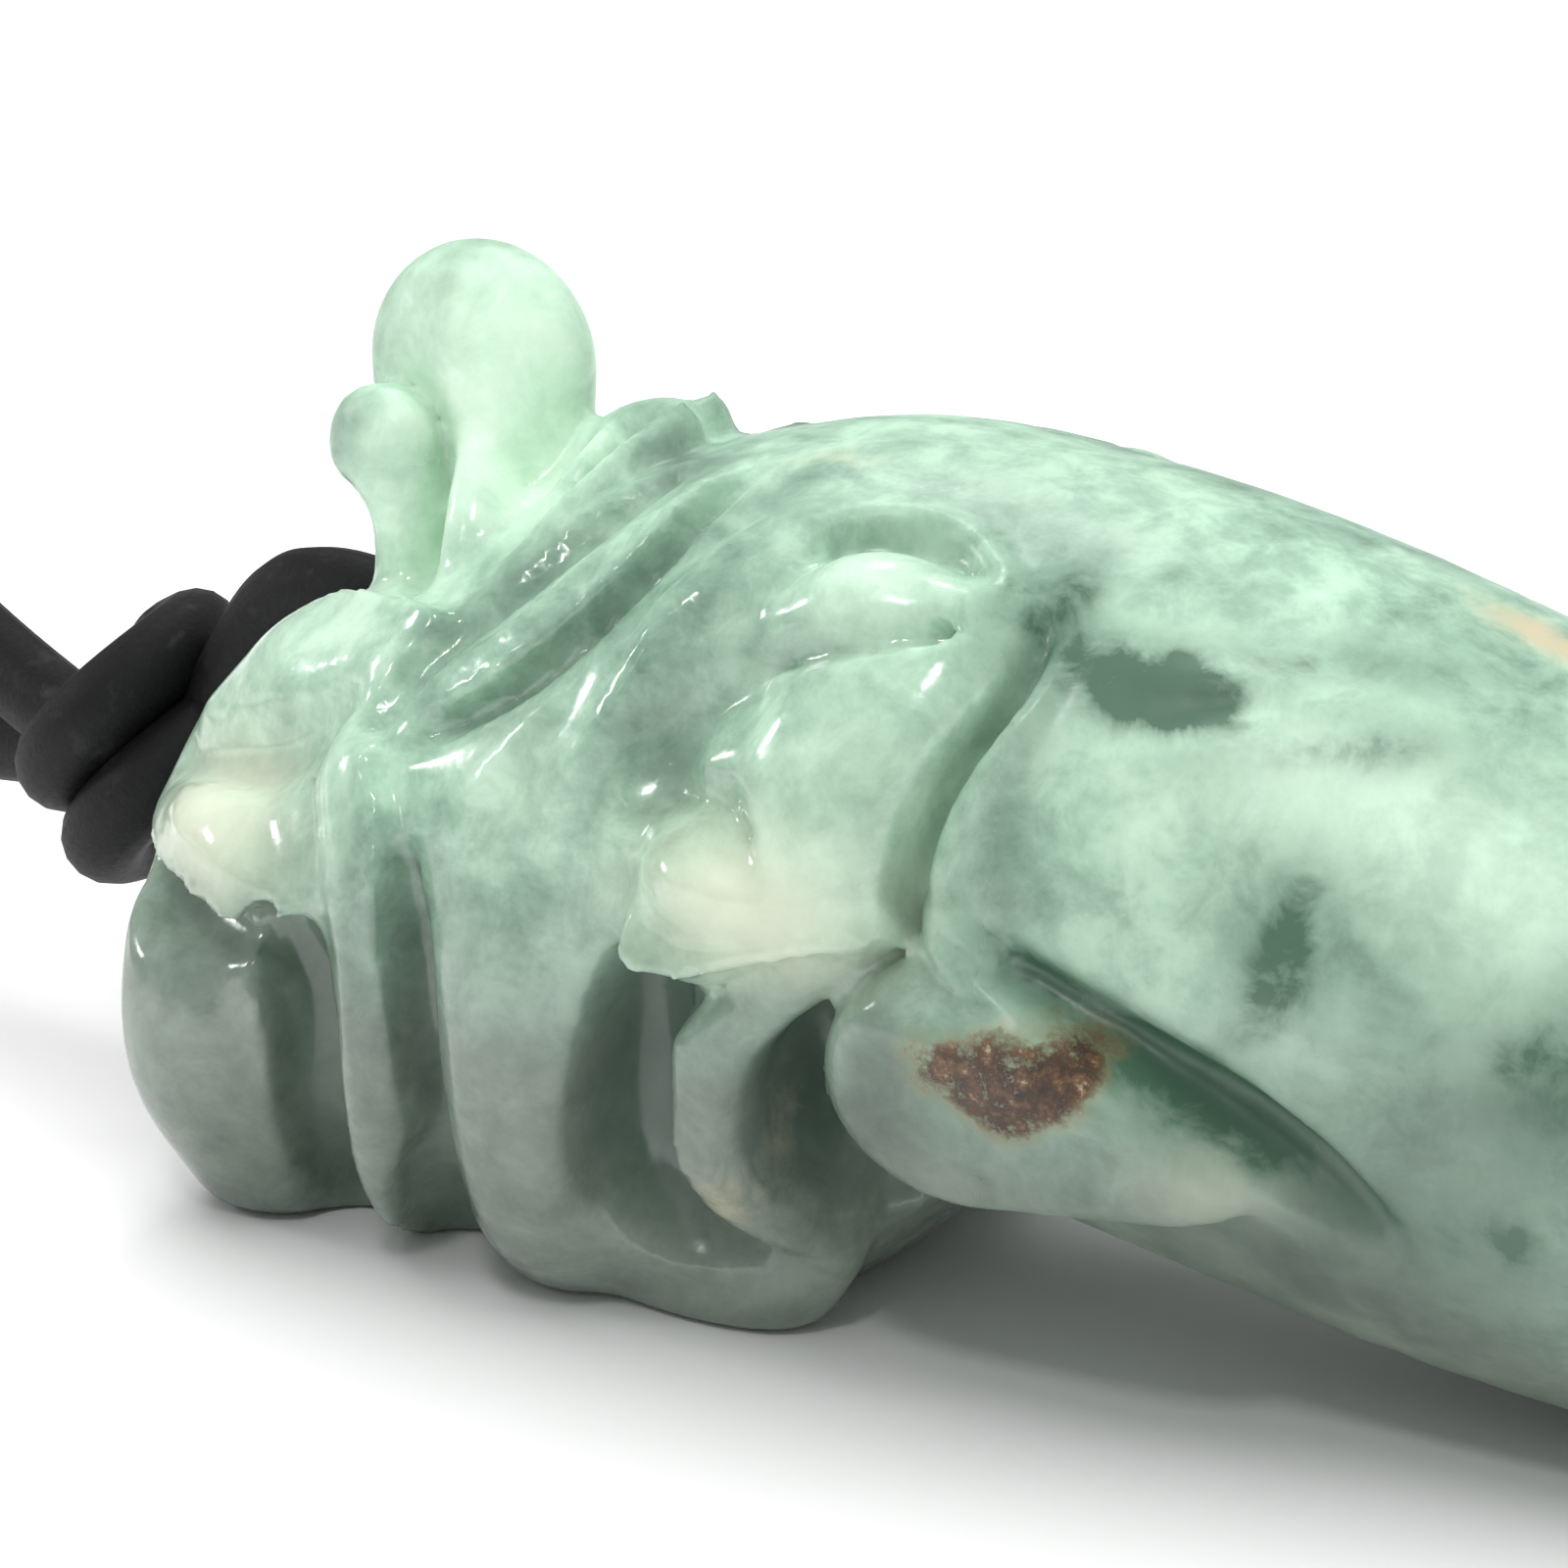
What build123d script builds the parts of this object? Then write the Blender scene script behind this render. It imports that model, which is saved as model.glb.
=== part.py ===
from build123d import *
import math
import os

import numpy as np

# Pendant: a dragon's head carved on the root of a tooth, lying on a surface, on a knotted cord.
# Millimetres. X runs from the muzzle to the tooth's point, Z is up, Y = 0 is the middle of the
# carving, and the origin is on the surface, under the middle of the head.

# Stone
head_length = 24.0  # muzzle to nape
head_width = 17.2  # before the relief
head_height = 18.5  # at the nape
tooth_length = 45.8  # origin to point
tooth_radius = 7.8  # where the tooth leaves the head
relief = 1.0  # height of the relief that the columns of lift and height are multiples of
crest_top = 20.0  # middle of the crest's round end above the surface
crest_radius = 2.3
foot_blend = 0.3  # softened edge of the worn flat under the head

# Cord
cord_diameter = 2.2
cord_clearance = 0.4  # between the cord and the wall of its hole
wrap_radius = 2.35  # from a wrap's middle to the cord's own middle line
floor_gap = 0.05  # between the lying cord and the surface
end_gap = 0.1  # between the neck cord's ends and the knot's

# Fineness of the stone's facets
head_cell = 0.86
tooth_cell = 2.0
cross_cell = 0.82

unit = head_length / 24  # the tables give places and widths along the head in 24ths of it

# The head's sections. x is in units, widths are shares of half the head's width, and heights are
# shares of its height.
# x, half width, top, bottom, height of the widest place, squareness
head_sections = [
    (-12.8, 0.09, 0.49, 0.30, 0.41, 2.2),
    (-12.2, 0.47, 0.59, 0.13, 0.38, 2.3),
    (-11.0, 0.70, 0.65, 0.01, 0.37, 2.4),
    (-8.0, 0.87, 0.725, -0.05, 0.39, 2.5),
    (-4.0, 0.965, 0.825, -0.06, 0.42, 2.5),
    (0.0, 1.0, 0.93, -0.065, 0.455, 2.4),
    (3.5, 1.0, 0.995, -0.055, 0.485, 2.4),
    (6.5, 0.955, 1.0, 0.065, 0.54, 2.3),
    (9.3, 0.84, 0.945, 0.245, 0.595, 2.2),
    (11.0, 0.465, 0.81, 0.43, 0.62, 2.0),
]
# The tooth's sections. x is a share of its length, the height of its middle line is a share of the
# head's height, and the radius is a share of the tooth's.
tooth_sections = [
    (-0.044, 0.595, 0.77),
    (0.066, 0.605, 0.925),
    (0.175, 0.595, 1.0),
    (0.306, 0.53, 1.0),
    (0.437, 0.44, 0.935),
    (0.568, 0.35, 0.795),
    (0.70, 0.27, 0.60),
    (0.83, 0.20, 0.395),
    (0.94, 0.15, 0.19),
    (0.99, 0.13, 0.065),
]
axis_height = 0.52 * head_height  # the angles below are measured round this line

RAISED, CUT = 1, -1
# The carved forms, each a row of sections along a line on the stone, made on both sides.
# name, raised or cut, softness of its edges, roundness of its section (2 is round, less is ridged,
# more is flat with steep sides), and the rows: x in units, angle up from the near side in degrees,
# lift of the middle over the stone, half width in units, half height. Lifts and heights are
# multiples of the relief.
forms = [
    ("mane lip", RAISED, 1.0, 2.0, [
        (-10.2, 24, -1.3, 0.8, 1.3),
        (-9.0, 32, -1.1, 1.4, 1.5),
        (-7.4, 36, -0.9, 2.0, 1.6),
        (-5.8, 36, -1.0, 1.7, 1.4),
        (-4.4, 34, -1.0, 1.0, 1.1),
    ]),
    ("side ridge", RAISED, 0.5, 2.0, [
        (-5.4, 27, -1.0, 0.8, 0.9),
        (-4.6, 19, -0.7, 0.9, 1.0),
        (-4.0, 9, -0.6, 0.95, 1.1),
        (-3.7, -3, -0.5, 0.8, 1.1),
        (-3.6, -14, -0.5, 0.7, 1.0),
        (-3.6, -30, -0.4, 0.75, 1.0),
        (-4.0, -42, -0.4, 0.55, 0.9),
        (-4.5, -54, -0.4, 0.25, 0.6),
    ]),
    ("left lobe", RAISED, 0.3, 2.0, [
        (-10.2, -18, -1.8, 1.5, 1.6),
        (-9.5, -30, -1.2, 2.1, 1.9),
        (-9.2, -44, -0.8, 2.3, 2.0),
        (-8.9, -60, -0.6, 2.2, 1.7),
    ]),
    ("wide column", RAISED, 0.5, 2.6, [
        (0.3, 8, -1.0, 1.5, 1.0),
        (0.3, -8, -0.8, 1.8, 1.2),
        (0.1, -26, -0.7, 1.6, 1.3),
        (0.0, -42, -0.6, 1.5, 1.3),
        (-0.3, -58, -0.7, 1.4, 1.2),
        (-0.4, -70, -0.8, 1.2, 1.0),
    ]),
    ("bottom lobe", RAISED, 0.4, 2.2, [
        (1.2, -63, -0.6, 1.0, 1.0),
        (2.6, -64, -0.4, 1.4, 1.1),
        (4.4, -62, -0.2, 1.3, 1.1),
        (5.9, -58, -0.1, 0.8, 0.8),
    ]),
    ("brow plate", RAISED, 0.6, 3.0, [
        (4.6, 52, -0.9, 0.8, 1.0),
        (5.8, 57, -0.9, 1.0, 1.2),
        (7.6, 56, -0.8, 1.5, 1.4),
        (8.6, 49, -0.7, 1.8, 1.5),
        (8.2, 38, -0.8, 2.1, 1.7),
        (7.6, 27, -0.8, 2.1, 1.8),
        (7.2, 18, -0.7, 1.9, 1.7),
    ]),
    ("under lip", CUT, 0.9, 2.0, [
        (-11.2, 9, 0.6, 0.6, 1.0),
        (-9.6, 12, 0.6, 0.9, 1.2),
        (-7.6, 16, 0.6, 1.0, 1.3),
        (-6.2, 21, 0.6, 0.7, 1.0),
        (-5.4, 27, 0.5, 0.3, 0.7),
    ]),
    ("under cap", CUT, 0.4, 2.4, [
        (-11.2, -12.5, 0.7, 0.5, 1.3),
        (-9.8, -14.5, 0.7, 0.8, 1.7),
        (-8.0, -15, 0.7, 0.8, 1.7),
        (-6.6, -13.5, 0.7, 0.4, 1.4),
    ]),
    ("cap", RAISED, 0.3, 1.6, [
        (-10.5, -1.5, -0.9, 0.6, 0.9),
        (-9.2, -1, -0.5, 0.95, 1.2),
        (-7.7, -1.5, -0.3, 1.1, 1.2),
        (-6.6, -4, -0.3, 0.85, 1.1),
        (-6.0, -6.5, -0.4, 0.45, 0.8),
    ]),
    ("left groove", CUT, 0.12, 4.0, [
        (-6.0, -10, 0.7, 0.4, 1.6),
        (-5.9, -15, 0.7, 1.3, 2.3),
        (-5.6, -24, 0.7, 1.3, 2.6),
        (-5.6, -34, 0.7, 1.3, 2.6),
        (-5.9, -45, 0.7, 1.2, 2.3),
        (-6.2, -60, 0.7, 1.1, 1.9),
    ]),
    ("groove line", RAISED, 0.1, 2.0, [
        (-5.6, -13, -1.5, 0.2, 0.4),
        (-5.5, -26, -1.7, 0.22, 0.4),
        (-5.3, -38, -1.7, 0.25, 0.5),
        (-5.0, -48, -1.3, 0.3, 0.5),
    ]),
    ("middle groove", CUT, 0.15, 3.0, [
        (-2.4, 6, 0.5, 0.25, 0.8),
        (-2.2, -5, 0.5, 0.45, 1.3),
        (-2.2, -14, 0.6, 0.6, 1.7),
        (-2.1, -26, 0.6, 0.58, 1.8),
        (-2.2, -37, 0.6, 0.68, 1.9),
        (-2.8, -47, 0.6, 1.0, 1.9),
        (-3.3, -60, 0.6, 1.3, 1.7),
    ]),
    ("upper groove", CUT, 0.25, 2.0, [
        (0.9, 71, 0.3, 0.3, 0.5),
        (0.0, 63, 0.4, 0.5, 0.8),
        (-1.3, 53, 0.4, 0.6, 0.9),
        (-2.6, 42, 0.4, 0.6, 0.8),
        (-3.6, 32, 0.4, 0.5, 0.8),
        (-4.0, 24, 0.4, 0.3, 0.6),
    ]),
    ("fold groove", CUT, 0.15, 2.0, [
        (3.0, 73, 0.3, 0.3, 0.5),
        (2.5, 61, 0.4, 0.36, 1.0),
        (1.8, 48, 0.4, 0.38, 1.1),
        (0.2, 35, 0.4, 0.38, 1.1),
        (-1.6, 27, 0.4, 0.38, 1.0),
        (-2.7, 22, 0.4, 0.3, 0.7),
    ]),
    ("fold crest", RAISED, 0.2, 1.6, [
        (0.9, 57, 0.1, 0.2, 0.25),
        (0.4, 50, 0.25, 0.22, 0.3),
        (-0.7, 41, 0.25, 0.24, 0.3),
        (-1.9, 34.5, 0.15, 0.2, 0.3),
        (-2.9, 30, 0.0, 0.15, 0.25),
    ]),
    ("mouth hollow", CUT, 0.12, 3.5, [
        (3.3, -5, 0.8, 0.7, 2.0),
        (3.1, -13, 0.8, 1.0, 2.9),
        (2.9, -22, 0.8, 1.15, 3.3),
        (2.7, -32, 0.8, 1.2, 3.3),
        (3.0, -40, 0.8, 1.3, 2.9),
        (3.9, -46, 0.7, 1.0, 2.2),
        (5.0, -50, 0.6, 0.5, 1.2),
    ]),
    ("under fang", CUT, 0.3, 3.0, [
        (3.4, -8, 0.9, 0.9, 2.2),
        (5.0, -6.5, 0.9, 0.7, 2.1),
        (6.6, -2, 0.8, 0.45, 1.7),
        (7.9, 2.5, 0.7, 0.25, 1.1),
    ]),
    ("jaw gap", CUT, 0.15, 3.0, [
        (9.2, 4, 0.7, 0.25, 1.2),
        (8.1, -5, 0.7, 0.4, 2.0),
        (6.9, -13, 0.7, 0.55, 2.8),
        (6.4, -21, 0.7, 0.8, 3.4),
        (6.5, -31, 0.7, 1.0, 3.4),
        (6.9, -42, 0.7, 0.9, 2.8),
        (7.6, -54, 0.7, 0.8, 2.2),
    ]),
    ("cheek valley", CUT, 0.9, 2.0, [
        (5.6, 38, 0.4, 0.4, 0.6),
        (4.4, 32, 0.4, 0.7, 1.0),
        (3.8, 25, 0.4, 0.75, 1.0),
        (4.5, 20.5, 0.4, 0.5, 0.8),
        (5.9, 16.5, 0.4, 0.35, 0.6),
    ]),
    ("brow hollow", CUT, 0.4, 2.0, [
        (6.0, 54, 0.6, 0.4, 0.9),
        (6.9, 58, 0.7, 0.8, 1.2),
        (8.0, 59, 0.7, 0.85, 1.2),
        (9.2, 56, 0.6, 0.45, 0.9),
    ]),
    ("eye groove", CUT, 0.2, 2.0, [
        (5.7, 39, 0.4, 0.3, 0.6),
        (7.4, 42.6, 0.4, 0.42, 1.0),
        (9.4, 46.6, 0.3, 0.35, 0.8),
    ]),
    ("nape groove", CUT, 0.2, 2.4, [
        (11.0, 56, 0.3, 0.3, 0.4),
        (11.1, 49, 0.4, 0.32, 0.8),
        (10.8, 40, 0.4, 0.32, 1.1),
        (10.1, 30, 0.4, 0.32, 1.2),
        (9.6, 20, 0.4, 0.32, 1.3),
        (9.5, 11, 0.4, 0.3, 1.1),
        (10.0, 6, 0.3, 0.28, 0.8),
    ]),
    ("leaf groove", CUT, 0.5, 2.0, [
        (10.6, 8.5, 0.4, 0.4, 0.8),
        (12.6, 2, 0.4, 0.5, 1.1),
        (14.6, -5, 0.4, 0.55, 1.2),
        (16.4, -12, 0.4, 0.65, 1.4),
        (18.0, -20, 0.4, 0.6, 1.3),
        (19.2, -28, 0.4, 0.4, 0.9),
    ]),
    ("leaf", RAISED, 0.15, 4.0, [
        (9.6, -5, -0.6, 1.2, 1.6),
        (9.9, -16, -0.2, 2.4, 1.7),
        (11.8, -17.5, -0.2, 2.2, 1.6),
        (13.8, -19.5, -0.1, 1.6, 1.4),
        (15.3, -22.5, 0.0, 0.9, 1.1),
        (16.4, -24.5, 0.0, 0.35, 0.6),
    ]),
    ("eyeball", RAISED, 0.1, 2.0, [
        (5.9, 46.5, -0.6, 0.9, 1.0),
        (7.4, 49.5, -0.3, 1.35, 1.3),
        (9.0, 51.5, -0.5, 1.0, 1.1),
    ]),
    ("eyelid", RAISED, 0.15, 1.8, [
        (6.0, 37.4, 0.0, 0.22, 0.3),
        (8.0, 41.2, 0.15, 0.25, 0.35),
        (10.0, 45.8, 0.15, 0.22, 0.3),
    ]),
    ("jaw strand", RAISED, 0.15, 3.0, [
        (8.6, 6.5, -0.4, 0.45, 0.8),
        (7.3, -0.5, -0.6, 0.6, 0.9),
        (5.9, -8, -0.9, 0.75, 0.9),
        (5.0, -16, -0.9, 0.85, 1.0),
        (4.7, -28, -0.9, 0.8, 1.0),
        (5.0, -38, -0.7, 0.8, 1.0),
        (5.8, -49, -0.5, 0.7, 0.9),
        (6.3, -58, -0.4, 0.4, 0.6),
    ]),
    ("fang", RAISED, 0.1, 1.3, [
        (4.5, 12.5, -0.3, 1.1, 1.3),
        (5.1, 10.5, 0.0, 1.5, 1.4),
        (6.3, 9.6, 0.15, 1.1, 1.2),
        (7.5, 9, 0.2, 0.6, 0.8),
        (8.7, 8, 0.0, 0.25, 0.45),
    ]),
    ("fang corner", RAISED, 0.1, 1.5, [
        (4.4, 6, -0.7, 0.6, 0.9),
        (4.3, 1.5, -0.6, 0.6, 0.9),
        (4.5, -1.8, -0.5, 0.6, 0.9),
        (5.7, 0.8, -0.4, 0.6, 0.8),
        (7.2, 4.5, -0.2, 0.4, 0.6),
    ]),
    ("cheek crest", RAISED, 0.5, 1.6, [
        (7.6, 30, -0.3, 0.5, 0.5),
        (7.9, 22, -0.1, 0.6, 0.6),
        (8.1, 15, -0.1, 0.5, 0.6),
    ]),
    ("rim", RAISED, 0.15, 1.8, [
        (11.5, 51, -0.1, 0.25, 0.3),
        (11.4, 42, 0.0, 0.28, 0.4),
        (10.7, 31, 0.0, 0.28, 0.5),
        (10.2, 21, 0.0, 0.28, 0.5),
        (10.2, 12, 0.0, 0.28, 0.5),
        (11.2, 6, -0.1, 0.28, 0.4),
    ]),
    ("rim strand", RAISED, 0.15, 1.8, [
        (9.8, 12, -0.2, 0.25, 0.4),
        (10.1, 7, 0.0, 0.3, 0.5),
        (10.9, 2, 0.2, 0.35, 0.5),
        (12.0, -2, 0.1, 0.3, 0.4),
        (13.0, -6, -0.1, 0.2, 0.3),
    ]),
    ("nape ridge", RAISED, 0.6, 2.2, [
        (-4.2, 90, -1.3, 0.9, 1.2),
        (-3.0, 90, -0.7, 0.9, 1.2),
        (-1.9, 90, -0.1, 0.8, 1.2),
        (-0.9, 90, 0.1, 0.7, 1.0),
    ]),
    ("back ridge", RAISED, 0.15, 1.6, [
        (-2.5, 54, -0.4, 0.4, 0.6),
        (-1.9, 62, -0.3, 0.5, 0.7),
        (-1.4, 70, -0.2, 0.55, 0.8),
        (-0.8, 78, 0.1, 0.55, 0.8),
        (-0.2, 86, 0.4, 0.5, 0.8),
    ]),
    ("back tuft", RAISED, 0.15, 1.8, [
        (-2.6, 66, -0.6, 0.4, 0.6),
        (-2.4, 73, -0.4, 0.45, 0.8),
        (-2.1, 80, 0.1, 0.45, 0.8),
        (-1.8, 87, 0.6, 0.4, 0.7),
    ]),
]
# Steps in the stone along a line, like the edge of a fold. The stone is raised on the line's right,
# seen from outside with the rows in order, and falls off to the line's left.
# name, height of the step as a multiple of the relief, how far the raised side reaches and how wide
# the step is, both in units, and the rows: x in units, angle in degrees, share of the height.
folds = [
    ("lip edge", 0.8, 3.0, 0.3, [
        (-9.0, 56, 0.6), (-7.4, 54, 1.0), (-5.8, 50, 1.0), (-3.6, 45, 0.8), (-1.6, 40, 0.0),
    ]),
    ("ridge edge", 0.7, 2.0, 0.25, [
        (-4.2, 28, 0.1), (-3.7, 20, 0.8), (-2.9, 10, 1.0), (-2.8, -4, 1.0), (-2.8, -16, 0.6),
        (-2.8, -30, 0.3),
    ]),
    ("ribbon edge", 0.5, 1.8, 0.35, [
        (1.6, 77, 0.0), (0.9, 72, 0.8), (0.3, 67, 1.0), (-0.6, 61, 1.0), (-1.4, 52, 0.5),
        (-2.2, 44, 0.0),
    ]),
    ("fold edge", 0.55, 2.4, 0.35, [
        (2.7, 76, 0.0), (2.6, 70, 0.4), (2.3, 63, 0.9), (1.7, 50, 1.0), (0.0, 37, 1.0),
        (-1.8, 29.5, 0.7), (-3.0, 26, 0.0),
    ]),
    ("side crease", 0.5, 2.2, 0.7, [
        (4.0, 50, 0.3), (3.3, 42, 1.0), (2.4, 28, 1.0), (1.3, 16, 0.6), (0.9, 8, 0.0),
    ]),
    ("low crease", 0.35, 1.6, 0.6, [
        (1.6, 36, 0.2), (0.2, 24, 1.0), (-1.0, 12, 1.0), (-1.3, 2, 0.0),
    ]),
    ("brow edge", 0.6, 2.6, 0.3, [
        (2.4, 38, 0.0), (3.2, 49, 0.3), (4.3, 59, 0.35), (5.6, 65, 0.25), (7.0, 67, 0.2),
        (8.8, 64, 0.25), (10.3, 56, 0.5), (10.8, 48, 0.9), (10.5, 38, 1.0), (9.8, 29, 1.0),
        (9.3, 21, 1.0), (9.2, 13, 1.0), (9.1, 7, 0.6),
    ]),
    ("cheek edge", 0.5, 2.4, 0.7, [
        (7.5, 11.5, 0.3), (6.0, 14, 0.8), (4.9, 18, 1.0), (4.5, 24, 1.0), (4.8, 31, 0.8),
        (5.7, 37, 0.2),
    ]),
    ("cap edge", 0.9, 2.6, 0.55, [
        (-4.6, -4, 0.3), (-5.2, -5, 0.8), (-6.2, -9.6, 1.0), (-6.8, -10.6, 1.0),
        (-8.4, -9.8, 1.0), (-10.2, -8.6, 0.8), (-11.4, -7, 0.4),
    ]),
    ("fang edge", 1.1, 2.4, 0.5, [
        (9.2, 6.5, 0.6), (8.1, 4.8, 1.0), (6.1, 0.8, 1.0), (5.0, -1.8, 1.0), (4.1, -4.0, 1.0),
        (3.8, -3.4, 1.0), (3.6, 1, 0.9), (3.7, 6, 0.6), (4.2, 14, 0.0),
    ]),
    ("leaf edge", 0.6, 2.2, 0.35, [
        (9.4, 6.5, 0.0), (10.8, 2.5, 0.8), (12.4, -2, 1.0), (15.2, -12, 1.0), (17.5, -24, 0.8),
    ]),
    ("low body edge", 0.3, 2.6, 0.6, [
        (12.6, 34, 0.0), (14.2, 39, 1.0), (15.7, 46, 1.0), (18.2, 53, 0.8), (21.5, 60, 0.0),
    ]),
    ("high body edge", 0.25, 1.3, 0.5, [
        (20.5, 58, 0.0), (17.8, 55, 0.8), (16.4, 52, 1.0), (14.5, 50, 1.0), (12.8, 47, 0.0),
    ]),
]
# The crest in the middle of the head and the curl on each side of it stand upright. x is in units,
# the height is a share of the crest's top, and the rest are shares of the crest's radius.
# x, from the middle, height, half width, half thickness
crest_sections = [
    (-6.0, 0.20, 0.62, 0.40, 0.70),
    (-5.9, 0.20, 0.735, 0.50, 0.66),
    (-5.8, 0.15, 0.80, 0.66, 0.64),
    (-5.8, 0.10, 0.86, 0.92, 0.66),
    (-5.8, 0.05, 0.91, 1.10, 0.70),
    (-5.8, 0.00, 0.96, 1.16, 0.72),
]
# The crest's edge, which comes down in front of the head on each side.
edge_sections = [
    (-5.0, 1.05, 0.64, 0.34, 0.44),
    (-4.8, 1.12, 0.70, 0.34, 0.42),
    (-4.6, 1.12, 0.755, 0.34, 0.42),
    (-4.55, 0.98, 0.805, 0.42, 0.42),
    (-5.2, 0.55, 0.86, 0.46, 0.42),
]
# The curl's rows, as the crest's. Its root spreads towards the muzzle.
curl_sections = [
    (-8.6, 0.80, 0.60, 0.36, 0.40),
    (-7.3, 0.84, 0.655, 0.40, 0.40),
    (-6.7, 0.86, 0.70, 0.36, 0.38),
    (-6.5, 0.88, 0.75, 0.35, 0.36),
    (-6.55, 0.90, 0.81, 0.37, 0.36),
    (-6.85, 0.90, 0.855, 0.47, 0.38),
    (-7.15, 0.88, 0.885, 0.56, 0.40),
    (-7.5, 0.86, 0.875, 0.46, 0.38),
]
# The valley down the crest beside the curl, as the crest's rows.
valley_sections = [
    (-7.4, 0.92, 0.965, 0.16, 0.22),
    (-6.5, 0.92, 0.925, 0.26, 0.34),
    (-5.95, 1.00, 0.87, 0.26, 0.40),
    (-5.55, 1.15, 0.805, 0.20, 0.38),
    (-5.4, 1.20, 0.74, 0.14, 0.30),
]
valley_blend = 0.7
crest_blend = 0.4
curl_blend = 0.25

# The cord's hole goes down from the top of the muzzle and turns out of its end. Its turns are
# slanted, and a groove leads the cord over the muzzle's end.
hole_x, hole_y = -9.9, 1.9
hole_turn_height = 7.2
hole_slant = 1.3
hole_end = -0.65 * head_length
hole_radius = cord_diameter / 2 + cord_clearance
arch_height = 12.6  # of the cord's middle line over the muzzle
arch_x = -12.9  # where the cord turns down towards its knot
knot_entry = (-16.6, 2.3, 7.7)
hole_route = [
    (hole_end, hole_y, hole_turn_height),
    (hole_x - hole_slant, hole_y, hole_turn_height),
    (hole_x, hole_y, hole_turn_height + hole_slant),
    (hole_x, hole_y, arch_height - hole_slant),
    (hole_x - hole_slant, hole_y, arch_height),
    (arch_x, hole_y, arch_height),
    knot_entry,
]


def smoothed(rows, steps):
    """The rows with steps rows for each, on a smooth curve through them."""
    rows = np.array(rows, float)
    padded = np.vstack([2 * rows[0] - rows[1], rows, 2 * rows[-1] - rows[-2]])
    spans = []
    t = np.linspace(0, 1, steps, endpoint=False)[:, None]
    for a, b, c, d in zip(padded[:-3], padded[1:-2], padded[2:-1], padded[3:]):
        bend = (2 * a - 5 * b + 4 * c - d) * t**2 + (3 * b - a - 3 * c + d) * t**3
        spans.append(b + 0.5 * ((c - a) * t + bend))
    return np.vstack(spans + [rows[-1:]])


def least(a, b, soft):
    """The smaller of two fields, with a fillet about as wide as soft where they meet."""
    if soft <= 0:
        return np.minimum(a, b)
    near = np.maximum(soft - np.abs(a - b), 0) / soft
    return np.minimum(a, b) - near * near * soft / 4


def most(a, b, soft):
    return -least(-a, -b, soft)


def head_field(x, y, z):
    """About the distance outside the plain head, less than zero inside it."""
    rows = smoothed(head_sections, 6)
    ends = rows[[0, -1], 0] * unit
    width, top, bottom, widest, square = (
        np.interp(x, rows[:, 0] * unit, column) for column in rows[:, 1:].T
    )
    width = np.maximum(width * head_width / 2, 0.05)
    top, bottom, widest = (v * head_height for v in (top, bottom, widest))
    reach = np.where(z > widest, top - widest, bottom - widest)
    across = np.abs(y) / width
    up = np.abs((z - widest) / reach)
    size = (across**square + up**square) ** (1 / square)
    field = (size - 1) * np.minimum(width, (top - bottom) / 2)
    return np.maximum(field, np.maximum(ends[0] - x, x - ends[1]))


def tooth_field(x, y, z):
    scale = np.array([tooth_length, head_height, tooth_radius])
    rows = smoothed(tooth_sections, 4) * scale
    field = None
    for (x0, z0, r0), (x1, z1, r1) in zip(rows[:-1], rows[1:]):
        run, rise = x1 - x0, z1 - z0
        t = np.clip(((x - x0) * run + (z - z0) * rise) / (run**2 + rise**2), 0, 1)
        off = np.sqrt((x - x0 - run * t) ** 2 + y**2 + (z - z0 - rise * t) ** 2)
        span = off - r0 - (r1 - r0) * t
        field = span if field is None else np.minimum(field, span)
    return field


def plain_field(x, y, z):
    return least(head_field(x, y, z), tooth_field(x, y, z), 1.2)


def on_stone(x, angle, lift):
    """A point over the plain stone and the way out of it there."""
    turn = math.radians(angle)
    out = np.array([0, -math.cos(turn), math.sin(turn)])
    reach = np.arange(0.5, head_width, 0.02)
    field = plain_field(np.full_like(reach, x), reach * out[1], axis_height + reach * out[2])
    radius = reach[np.flatnonzero(field < 0)[-1]] + lift
    return np.array([x, 0, axis_height]) + radius * out, out


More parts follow.
